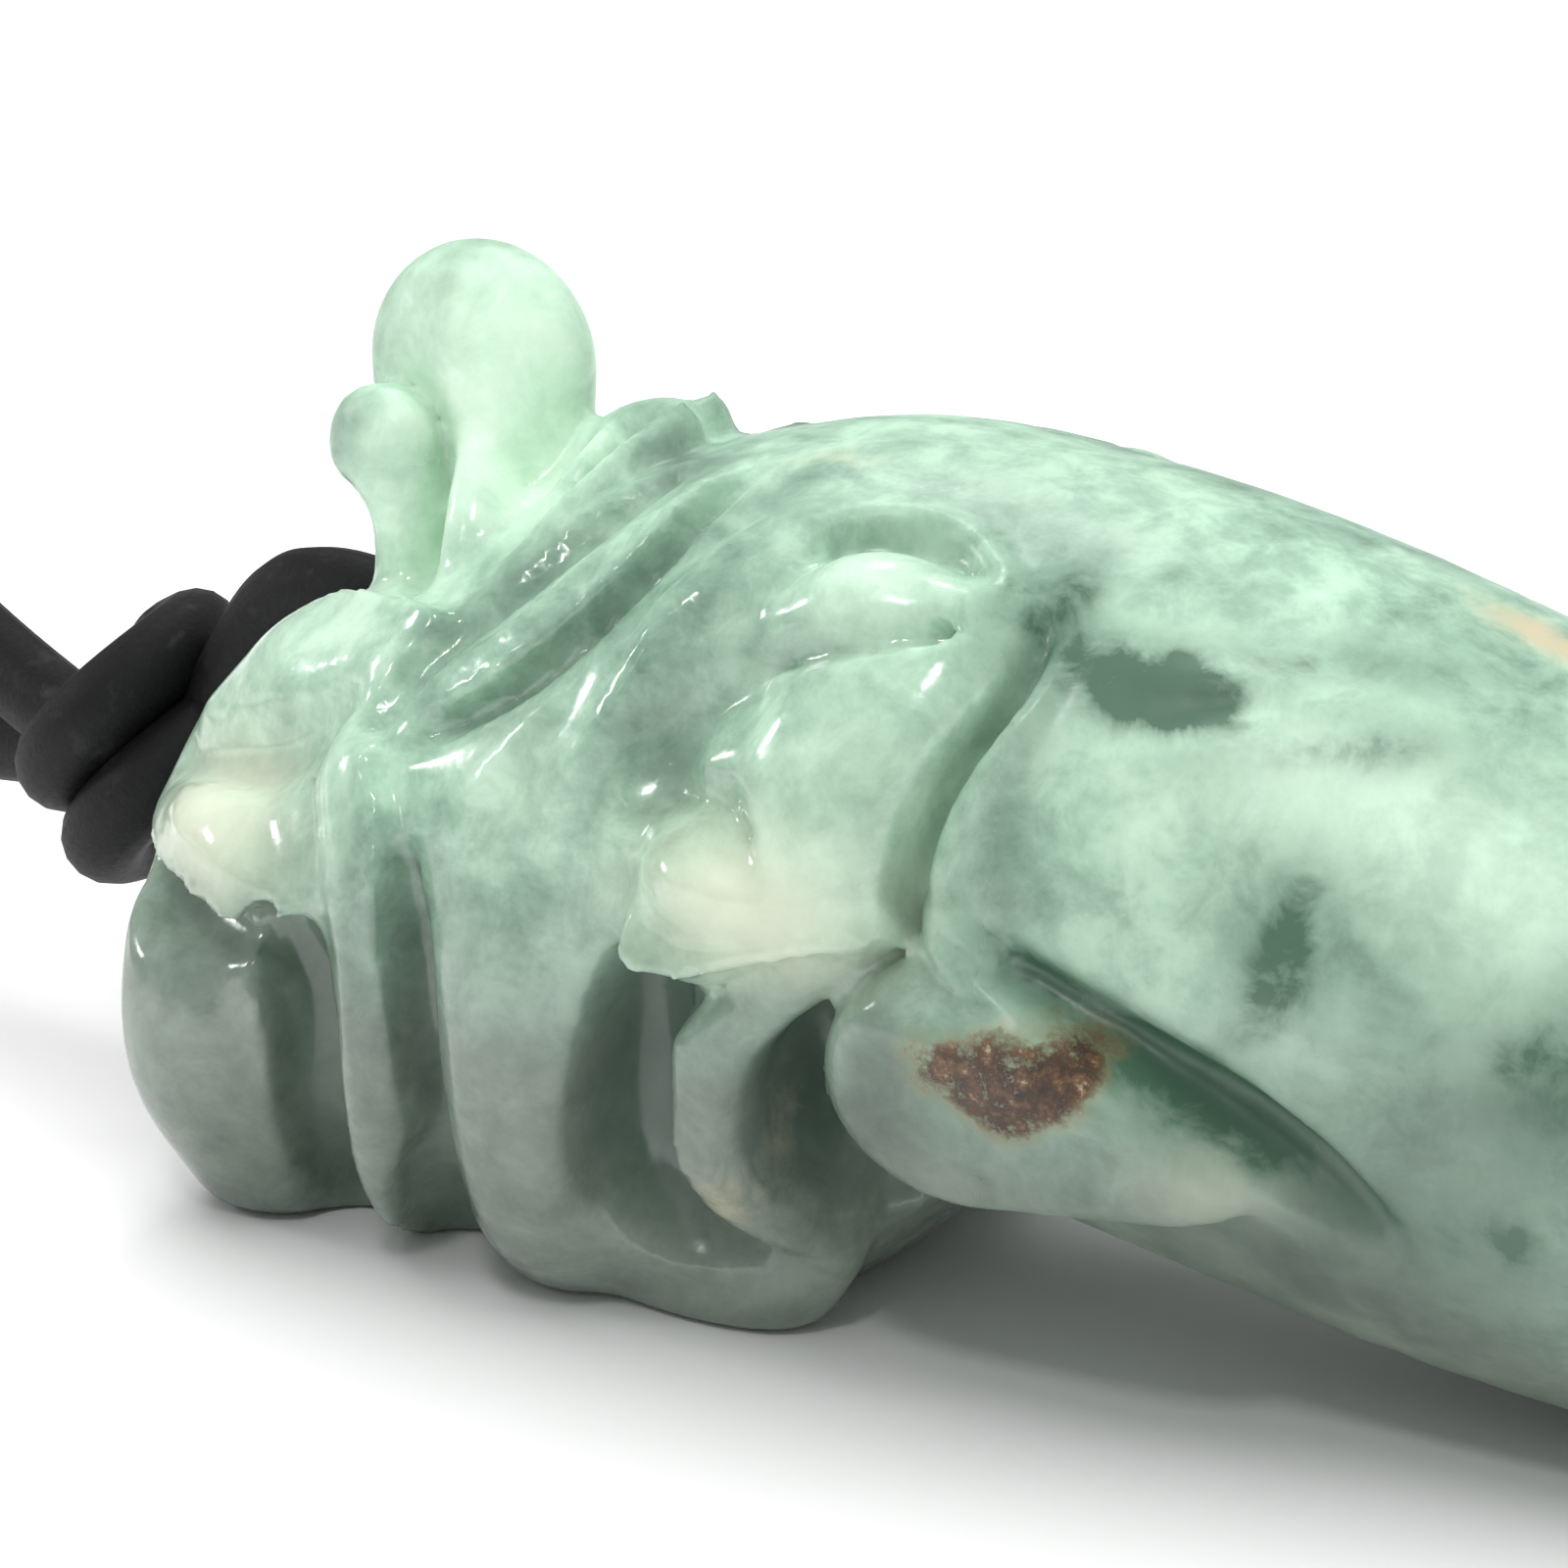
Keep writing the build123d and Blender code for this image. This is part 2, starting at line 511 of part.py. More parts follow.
class Stone:
    """The carving as a field on a grid of points."""

    def __init__(self, xs, ys, zs):
        self.axes = xs, ys, zs
        self.field = plain_field(*self.block([slice(None)] * 3))

    def block(self, part):
        xs, ys, zs = (axis[p] for axis, p in zip(self.axes, part))
        return xs[:, None, None], ys[None, :, None], zs[None, None, :]

    def near(self, low, high):
        """The part of the grid between two corners."""
        spans = []
        for axis, a, b in zip(self.axes, low, high):
            first, last = np.searchsorted(axis, [a, b])
            spans.append(slice(max(first - 1, 0), last + 1))
        return tuple(spans)

    def carve(self, points, outs, widths, heights, way, soft, roundness=2.0):
        """Adds or cuts a strand with the given half widths and half heights at its points."""
        rows = smoothed(np.hstack([points, outs, np.c_[widths, heights]]), 5)
        reach = rows[:, 6:].max() + max(soft, 0.3)
        part = self.near(rows[:, :3].min(0) - reach, rows[:, :3].max(0) + reach)
        x, y, z = self.block(part)
        strand = None
        for a, b in zip(rows[:-1], rows[1:]):
            run = b[:3] - a[:3]
            along = (x - a[0]) * run[0] + (y - a[1]) * run[1] + (z - a[2]) * run[2]
            t = np.clip(along / (run @ run + 1e-9), 0, 1)
            dx, dy, dz = (v - c - r * t for v, c, r in zip((x, y, z), a[:3], run))
            out = a[3:6] + b[3:6]
            out = out / np.linalg.norm(out)
            width, height = (np.maximum(a[k] + (b[k] - a[k]) * t, 0.02) for k in (6, 7))
            up = dx * out[0] + dy * out[1] + dz * out[2]
            side = np.sqrt(np.maximum(dx**2 + dy**2 + dz**2 - up**2, 0))
            size = (side / width) ** roundness + (np.abs(up) / height) ** roundness
            span = (size ** (1 / roundness) - 1) * np.minimum(width, height)
            strand = span if strand is None else np.minimum(strand, span)
        mix = least if way == RAISED else most
        self.field[part] = mix(self.field[part], way * strand, soft)

    def fold(self, rows, height, reach, step):
        """Raises the stone by a height on the right of a line of x, angle and share of height."""
        rows = smoothed(rows, 4)
        low, high = rows[:, 0].min() - reach, rows[:, 0].max() + reach
        part = self.near((low, -100, -100), (high, 100, 100))
        x, y, z = self.block(part)
        here = self.field[part]
        where = np.abs(here) < 3 * relief
        x, y, z = (np.broadcast_to(v, here.shape)[where] for v in (x, y, z))
        around = np.hypot(y, z - axis_height)
        turn = np.arctan2(z - axis_height, np.abs(y))
        nearest = np.full(x.shape, 1e9)
        raised = np.zeros(x.shape)
        for a, b in zip(rows[:-1], rows[1:]):
            run, climb = b[0] - a[0], np.radians(b[1] - a[1]) * around
            dx, da = x - a[0], (turn - np.radians(a[1])) * around
            t = np.clip((dx * run + da * climb) / (run**2 + climb**2 + 1e-9), 0, 1)
            off = np.hypot(dx - run * t, da - climb * t)
            right = dx * climb - da * run > 0
            share = a[2] + (b[2] - a[2]) * t
            far = np.where(right, 1 - off / reach, 1 - off / step)
            lift = share * height * np.clip(far, 0, 1) ** 2
            closer = off < nearest
            raised[closer] = lift[closer]
            nearest[closer] = off[closer]
        here[where] -= raised


def stand_up(stone, rows, way, soft):
    """Adds or cuts an upright strand and its mirror image. The rows are as the crest's."""
    across = np.tile([0.0, 1.0, 0.0], (len(rows), 1))
    widths, thicks = rows[:, 3] * crest_radius, rows[:, 4] * crest_radius
    for side in (1, -1):
        off = side * rows[:, 1] * crest_radius
        points = np.c_[rows[:, 0] * unit, off, rows[:, 2] * crest_top]
        stone.carve(points, across, widths, thicks, way, soft)


def carved_stone(stone):
    """Carves the whole dragon's head, its hole and its flat foot into a plain stone."""
    for name, height, reach, step, rows in folds:
        rows = [(x * unit, angle, share) for x, angle, share in rows]
        stone.fold(rows, height * relief, reach * unit, step * unit)
    for name, way, soft, roundness, rows in forms:
        placed = [on_stone(x * unit, angle, lift * relief) for x, angle, lift, _, _ in rows]
        points = np.array([point for point, _ in placed])
        outs = np.array([out for _, out in placed])
        widths = np.array([row[3] for row in rows]) * unit
        heights = np.array([row[4] for row in rows]) * relief
        for side in (1, -1):
            mirror = np.array([1, side, 1])
            stone.carve(points * mirror, outs * mirror, widths, heights, way, soft, roundness)

    stand_up(stone, np.array(crest_sections), RAISED, crest_blend)
    stand_up(stone, np.array(edge_sections), RAISED, curl_blend)
    stand_up(stone, np.array(valley_sections), CUT, valley_blend)
    stand_up(stone, np.array(curl_sections), RAISED, curl_blend)

    x, y, z = stone.block([slice(None)] * 3)
    hole = np.maximum(np.hypot(x - hole_x, y - hole_y) - hole_radius, arch_height - hole_slant - z)
    for start, end in zip(hole_route[:-1], hole_route[1:]):
        start, run = np.array(start), np.subtract(end, start)
        along = (x - start[0]) * run[0] + (y - start[1]) * run[1] + (z - start[2]) * run[2]
        t = np.clip(along / (run @ run), 0, 1)
        dx, dy, dz = (v - c - r * t for v, c, r in zip((x, y, z), start, run))
        hole = np.minimum(hole, np.sqrt(dx**2 + dy**2 + dz**2) - hole_radius)
    field = most(stone.field, -hole, 0.3)
    stone.field = most(field, -z + 0 * x + 0 * y, foot_blend)


def in_one_piece(field, seed):
    """The field with only the piece of stone that holds the grid point seed."""
    inside = field < 0
    piece = np.zeros_like(inside)
    piece[seed] = True
    size = 0
    while size != piece.sum():
        size = piece.sum()
        for axis in range(3):
            p = np.moveaxis(piece, axis, 0)
            p[1:] |= p[:-1]
            p[:-1] |= p[1:]
            piece &= inside
    return np.where(inside & ~piece, -field, field)


def untangled(field, small):
    """The field with no cell whose inside or outside corners touch only across a diagonal."""
    field = field.copy()
    low, high = slice(None, -1), slice(1, None)
    corners = [(i, j, k) for i in (low, high) for j in (low, high) for k in (low, high)]
    changed = True
    while changed:
        changed = False
        for axis in range(3):
            f = np.moveaxis(field, axis, 0)
            a, b, c, d = f[:, low, low], f[:, high, low], f[:, high, high], f[:, low, high]
            one = (a < 0) & (c < 0) & (b >= 0) & (d >= 0)
            two = (b < 0) & (d < 0) & (a >= 0) & (c >= 0)
            b[one] = -small
            a[two] = -small
            changed |= one.any() or two.any()
        count = sum((field[c] < 0).astype(int) for c in corners)
        for first, last in zip(corners[:4], corners[:3:-1]):
            apart = (count == 2) & (field[first] < 0) & (field[last] < 0)
            field[first][apart] = small
            pinched = (count == 6) & (field[first] >= 0) & (field[last] >= 0)
            field[first][pinched] = -small
            changed |= apart.any() or pinched.any()
    return field


def surface(field, axes):
    """Corners and four-sided faces of the surface where the field is zero, one corner to a cell."""
    inside = field < 0
    counts = sum(
        inside[i : i - 1 or None, j : j - 1 or None, k : k - 1 or None].astype(int)
        for i in (0, 1)
        for j in (0, 1)
        for k in (0, 1)
    )
    crossed = (counts > 0) & (counts < 8)
    cells = np.argwhere(crossed)
    number = np.full(crossed.shape, -1)
    number[crossed] = np.arange(len(cells))
    corners = [(i, j, k) for i in (0, 1) for j in (0, 1) for k in (0, 1)]
    values = np.stack([field[tuple((cells + c).T)] for c in corners], 1)
    total = np.zeros((len(cells), 3))
    count = np.zeros(len(cells))
    for p, low in enumerate(corners):
        for axis in range(3):
            if low[axis]:
                continue
            high = tuple(v + (m == axis) for m, v in enumerate(low))
            a, b = values[:, p], values[:, corners.index(high)]
            cut = (a < 0) != (b < 0)
            place = np.array(low, float) + np.outer(
                np.where(cut, a / np.where(cut, a - b, 1), 0), np.eye(3)[axis]
            )
            total += place * cut[:, None]
            count += cut
    place = total / count[:, None]
    points = np.stack(
        [
            axis[cells[:, m]] + place[:, m] * (axis[cells[:, m] + 1] - axis[cells[:, m]])
            for m, axis in enumerate(axes)
        ],
        1,
    )
    faces = []
    for axis in range(3):
        first, second = (axis + 1) % 3, (axis + 2) % 3
        cut = np.diff(inside, axis=axis)
        edges = np.argwhere(cut)
        keep = np.ones(len(edges), bool)
        for other in (first, second):
            keep &= (edges[:, other] > 0) & (edges[:, other] < crossed.shape[other])
        edges = edges[keep]
        ring = []
        for back in ((1, 1), (0, 1), (0, 0), (1, 0)):
            cell = edges.copy()
            cell[:, first] -= back[0]
            cell[:, second] -= back[1]
            ring.append(number[tuple(cell.T)])
        ring = np.stack(ring, 1)
        leaving = inside[tuple(edges.T)]
        ring[~leaving] = ring[~leaving][:, ::-1]
        faces.append(ring)
    return points, np.vstack(faces)


def grid_axes():
    """Even cells over the head, longer ones along the tooth."""
    head = np.arange(-13.8 * unit, 18.5 * unit, head_cell)
    lengths = np.linspace(head_cell, tooth_cell, 8)
    tooth = [head[-1]]
    while tooth[-1] < tooth_length + 1:
        tooth.append(tooth[-1] + lengths[min(len(tooth) - 1, 7)])
    side = math.ceil((head_width / 2 + 2) / cross_cell) * cross_cell
    ys = np.arange(-side, side + cross_cell / 2, cross_cell)
    zs = np.arange(-1.5 * cross_cell, crest_top + crest_radius + 2 * cross_cell, cross_cell)
    return np.r_[head, tooth[1:]], ys, zs


def faceted(points, quads):
    """A solid of flat three-sided faces, each quad split along its shorter diagonal."""
    a, b, c, d = (points[quads[:, k]] for k in range(4))
    short = np.linalg.norm(a - c, axis=1) < np.linalg.norm(b - d, axis=1)
    one, two = quads[short], quads[~short]
    rings = np.vstack([one[:, [0, 1, 2]], one[:, [0, 2, 3]], two[:, [0, 1, 3]], two[:, [1, 2, 3]]])
    corners = [Vector(*p) for p in points.tolist()]
    faces = [Face(Wire.make_polygon([corners[i] for i in ring])) for ring in rings.tolist()]
    return Solid(Shell(faces))


def carved_tooth():
    xs, ys, zs = grid_axes()
    stone = Stone(xs, ys, zs)
    carved_stone(stone)
    middle = np.searchsorted(xs, 0), len(ys) // 2, np.searchsorted(zs, axis_height)
    field = untangled(in_one_piece(stone.field, middle), 0.1 * cross_cell)
    return faceted(*surface(field, (xs, ys, zs)))


# The cord is tied close to the muzzle: it goes up over the muzzle's end, down its hole and back out
# of the end, and is wrapped twice round itself. The wraps are seen edge on from the near side.
wrap_axis = Vector(-0.65, -0.10, 0.75)
wrap_middle = (-17.7, 2.3, 8.15)
wrap_pitch = 2.3
hanging_route = [
    knot_entry,
    (arch_x, hole_y, arch_height),
    (hole_x, hole_y, arch_height),
    (hole_x, hole_y, hole_turn_height),
    (-16.6, hole_y + 0.1, hole_turn_height + 0.4),
]
halfway = (hole_x, hole_y, (arch_height + hole_turn_height) / 2)
far_leg_end, far_stub = (-23.2, 3.9, 6.8), 6.2  # each leg's stub ends inside the knot
near_leg_end, near_stub = (-21.6, 2.1, 9.0), 4.6

# The neck loop, from the knot round and back to it, lying on the surface where it isn't held up by
# the knot.
lying = cord_diameter / 2 + floor_gap
neck_route = [
    far_leg_end,
    (-29.5, 4.9, 6.1),
    (-42.0, 9.0, 3.2),
    (-59.0, 14.0, lying),
    (-88.0, 26.0, lying),
    (-128.0, 44.0, lying),
    (-174.0, 57.0, lying),
    (-222.0, 52.0, lying),
    (-260.0, 24.0, lying),
    (-271.0, -20.0, lying),
    (-248.0, -62.0, lying),
    (-201.0, -83.0, lying),
    (-151.0, -77.0, lying),
    (-107.0, -52.0, lying),
    (-72.0, -27.0, lying),
    (-50.0, -9.5, 3.6),
    (-36.0, 1.0, 8.6),
    (-27.5, 4.5, 10.7),
    near_leg_end,
]


def corner_radii(route):
    """For each corner, 0.45 of its shorter run over the tangent of half the turn."""
    points = [Vector(*p) for p in route]
    radii = []
    for a, b, c in zip(points, points[1:], points[2:]):
        turn = math.radians((b - a).get_angle(c - b))
        radii.append(0.45 * min((b - a).length, (c - b).length) / math.tan(turn / 2))
    return radii


def tube(route, radii):
    path = FilletPolyline(*route, radius=radii)
    start = Plane(origin=path @ 0, z_dir=path % 0)
    return sweep(start * Circle(cord_diameter / 2), path=path), path


def neck_cord():
    route = [Vector(*p) for p in neck_route]
    for end, run in ((0, 1), (-1, -2)):
        route[end] += (route[run] - route[end]).normalized() * end_gap
    radii = corner_radii(route)
    cord, path = tube(route, radii)
    section = math.pi * (cord_diameter / 2) ** 2
    print("neck cord radii", [round(r, 1) for r in radii])
    print("neck cord length", round(path.length, 1))
    print("neck cord volume over section", round(cord.volume / section, 1))
    return cord


def wraps():
    """Two turns side by side, closed in the middle."""
    with BuildSketch(Plane.XZ) as profile:
        with Locations((wrap_radius / 2, 0)):
            Rectangle(wrap_radius, wrap_pitch + cord_diameter / 2)
        with Locations((wrap_radius, -wrap_pitch / 2), (wrap_radius, wrap_pitch / 2)):
            Circle(cord_diameter / 2)
    return Plane(origin=wrap_middle, z_dir=wrap_axis) * revolve(profile.sketch, Axis.Z)


def cord_knot():
    radii = corner_radii(hanging_route)
    print("hanging loop radii", [round(r, 2) for r in radii])
    knot = wraps() + tube([*hanging_route[:3], halfway], radii[:2])[0]
    knot = knot + tube([halfway, *hanging_route[3:]], radii[2:])[0]
    legs = (far_leg_end, neck_route[1], far_stub), (near_leg_end, neck_route[-2], near_stub)
    for leg, run, length in legs:
        end, way = Vector(*leg), (Vector(*leg) - Vector(*run)).normalized()
        stub = Plane(origin=end, z_dir=way) * Cylinder(
            cord_diameter / 2, length, align=(Align.CENTER, Align.CENTER, Align.MIN)
        )
        knot = knot + stub
    return knot


os.makedirs("parts", exist_ok=True)
for name, make in (("carved_tooth", carved_tooth), ("cord_knot", cord_knot), ("neck_cord", neck_cord)):
    shape = make()
    export_step(shape, f"parts/{name}.step")
    print(name, len(shape.solids()), shape.is_valid, round(shape.volume, 1), shape.bounding_box())
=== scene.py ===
import math

import bpy
import numpy as np
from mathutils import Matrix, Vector


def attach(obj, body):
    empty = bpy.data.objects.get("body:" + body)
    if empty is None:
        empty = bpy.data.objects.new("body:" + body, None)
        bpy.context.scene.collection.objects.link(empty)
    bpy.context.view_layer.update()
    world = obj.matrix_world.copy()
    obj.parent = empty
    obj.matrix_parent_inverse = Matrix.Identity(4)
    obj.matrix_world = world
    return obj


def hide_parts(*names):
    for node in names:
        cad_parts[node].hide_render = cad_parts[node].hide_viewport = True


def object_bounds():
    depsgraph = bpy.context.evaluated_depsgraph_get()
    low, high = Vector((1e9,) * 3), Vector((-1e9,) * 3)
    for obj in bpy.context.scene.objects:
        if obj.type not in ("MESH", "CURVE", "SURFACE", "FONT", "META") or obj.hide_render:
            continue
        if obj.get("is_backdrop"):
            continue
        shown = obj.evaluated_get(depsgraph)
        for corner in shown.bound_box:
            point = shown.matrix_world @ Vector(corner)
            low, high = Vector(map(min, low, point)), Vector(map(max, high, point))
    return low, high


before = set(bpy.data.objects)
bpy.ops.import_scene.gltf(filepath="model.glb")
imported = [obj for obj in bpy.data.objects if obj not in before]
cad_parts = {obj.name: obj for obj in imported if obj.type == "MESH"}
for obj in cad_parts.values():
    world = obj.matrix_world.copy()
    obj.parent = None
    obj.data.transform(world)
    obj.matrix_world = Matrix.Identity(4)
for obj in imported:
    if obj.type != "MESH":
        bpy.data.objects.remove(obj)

cad_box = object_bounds()
scene = bpy.context.scene
scene.view_settings.view_transform = "Standard"
mm = 0.001  # in metres

# Camera, at the photograph's angle and frame
camera_target = Vector((2.0, 0.0, 10.5)) * mm
camera_azimuth, camera_elevation, camera_distance = 30, 17, 90 * mm
camera_lens = 93.15
turn, rise = math.radians(camera_azimuth), math.radians(camera_elevation)
back = Vector((math.sin(turn) * math.cos(rise), -math.cos(turn) * math.cos(rise), math.sin(rise)))
camera_data = bpy.data.cameras.new("camera")
camera_data.lens = camera_lens
camera_data.sensor_width = 36
camera_data.clip_start = 0.001
camera = bpy.data.objects.new("camera", camera_data)
camera.location = camera_target + back * camera_distance
camera.rotation_euler = back.to_track_quat("Z", "Y").to_euler()
scene.collection.objects.link(camera)
scene.camera = camera

# Stone
head_length = 24.0  # muzzle to nape
head_width = 17.2  # before the relief
head_height = 18.5  # at the nape
tooth_length = 45.8  # origin to point
tooth_radius = 7.8  # where the tooth leaves the head
relief = 1.0  # height of the relief that the columns of lift and height are multiples of
crest_top = 20.0  # middle of the crest's round end above the surface
crest_radius = 2.3
foot_blend = 0.3  # softened edge of the worn flat under the head

# Cord
cord_diameter = 2.2
cord_clearance = 0.4  # between the cord and the wall of its hole
wrap_radius = 2.35  # from a wrap's middle to the cord's own middle line
floor_gap = 0.05  # between the lying cord and the surface

unit = head_length / 24  # the tables give places and widths along the head in 24ths of it

# The head's sections. x is in units, widths are shares of half the head's width, and heights are
# shares of its height.
# x, half width, top, bottom, height of the widest place, squareness
head_sections = [
    (-12.8, 0.09, 0.49, 0.30, 0.41, 2.2),
    (-12.2, 0.47, 0.59, 0.13, 0.38, 2.3),
    (-11.0, 0.70, 0.65, 0.01, 0.37, 2.4),
    (-8.0, 0.87, 0.725, -0.05, 0.39, 2.5),
    (-4.0, 0.965, 0.825, -0.06, 0.42, 2.5),
    (0.0, 1.0, 0.93, -0.065, 0.455, 2.4),
    (3.5, 1.0, 0.995, -0.055, 0.485, 2.4),
    (6.5, 0.955, 1.0, 0.065, 0.54, 2.3),
    (9.3, 0.84, 0.945, 0.245, 0.595, 2.2),
    (11.0, 0.465, 0.81, 0.43, 0.62, 2.0),
]
# The tooth's sections. x is a share of its length, the height of its middle line is a share of the
# head's height, and the radius is a share of the tooth's.
tooth_sections = [
    (-0.044, 0.595, 0.77),
    (0.066, 0.605, 0.925),
    (0.175, 0.595, 1.0),
    (0.306, 0.53, 1.0),
    (0.437, 0.44, 0.935),
    (0.568, 0.35, 0.795),
    (0.70, 0.27, 0.60),
    (0.83, 0.20, 0.395),
    (0.94, 0.15, 0.19),
    (0.99, 0.13, 0.065),
]
axis_height = 0.52 * head_height  # the angles below are measured round this line

RAISED, CUT = 1, -1
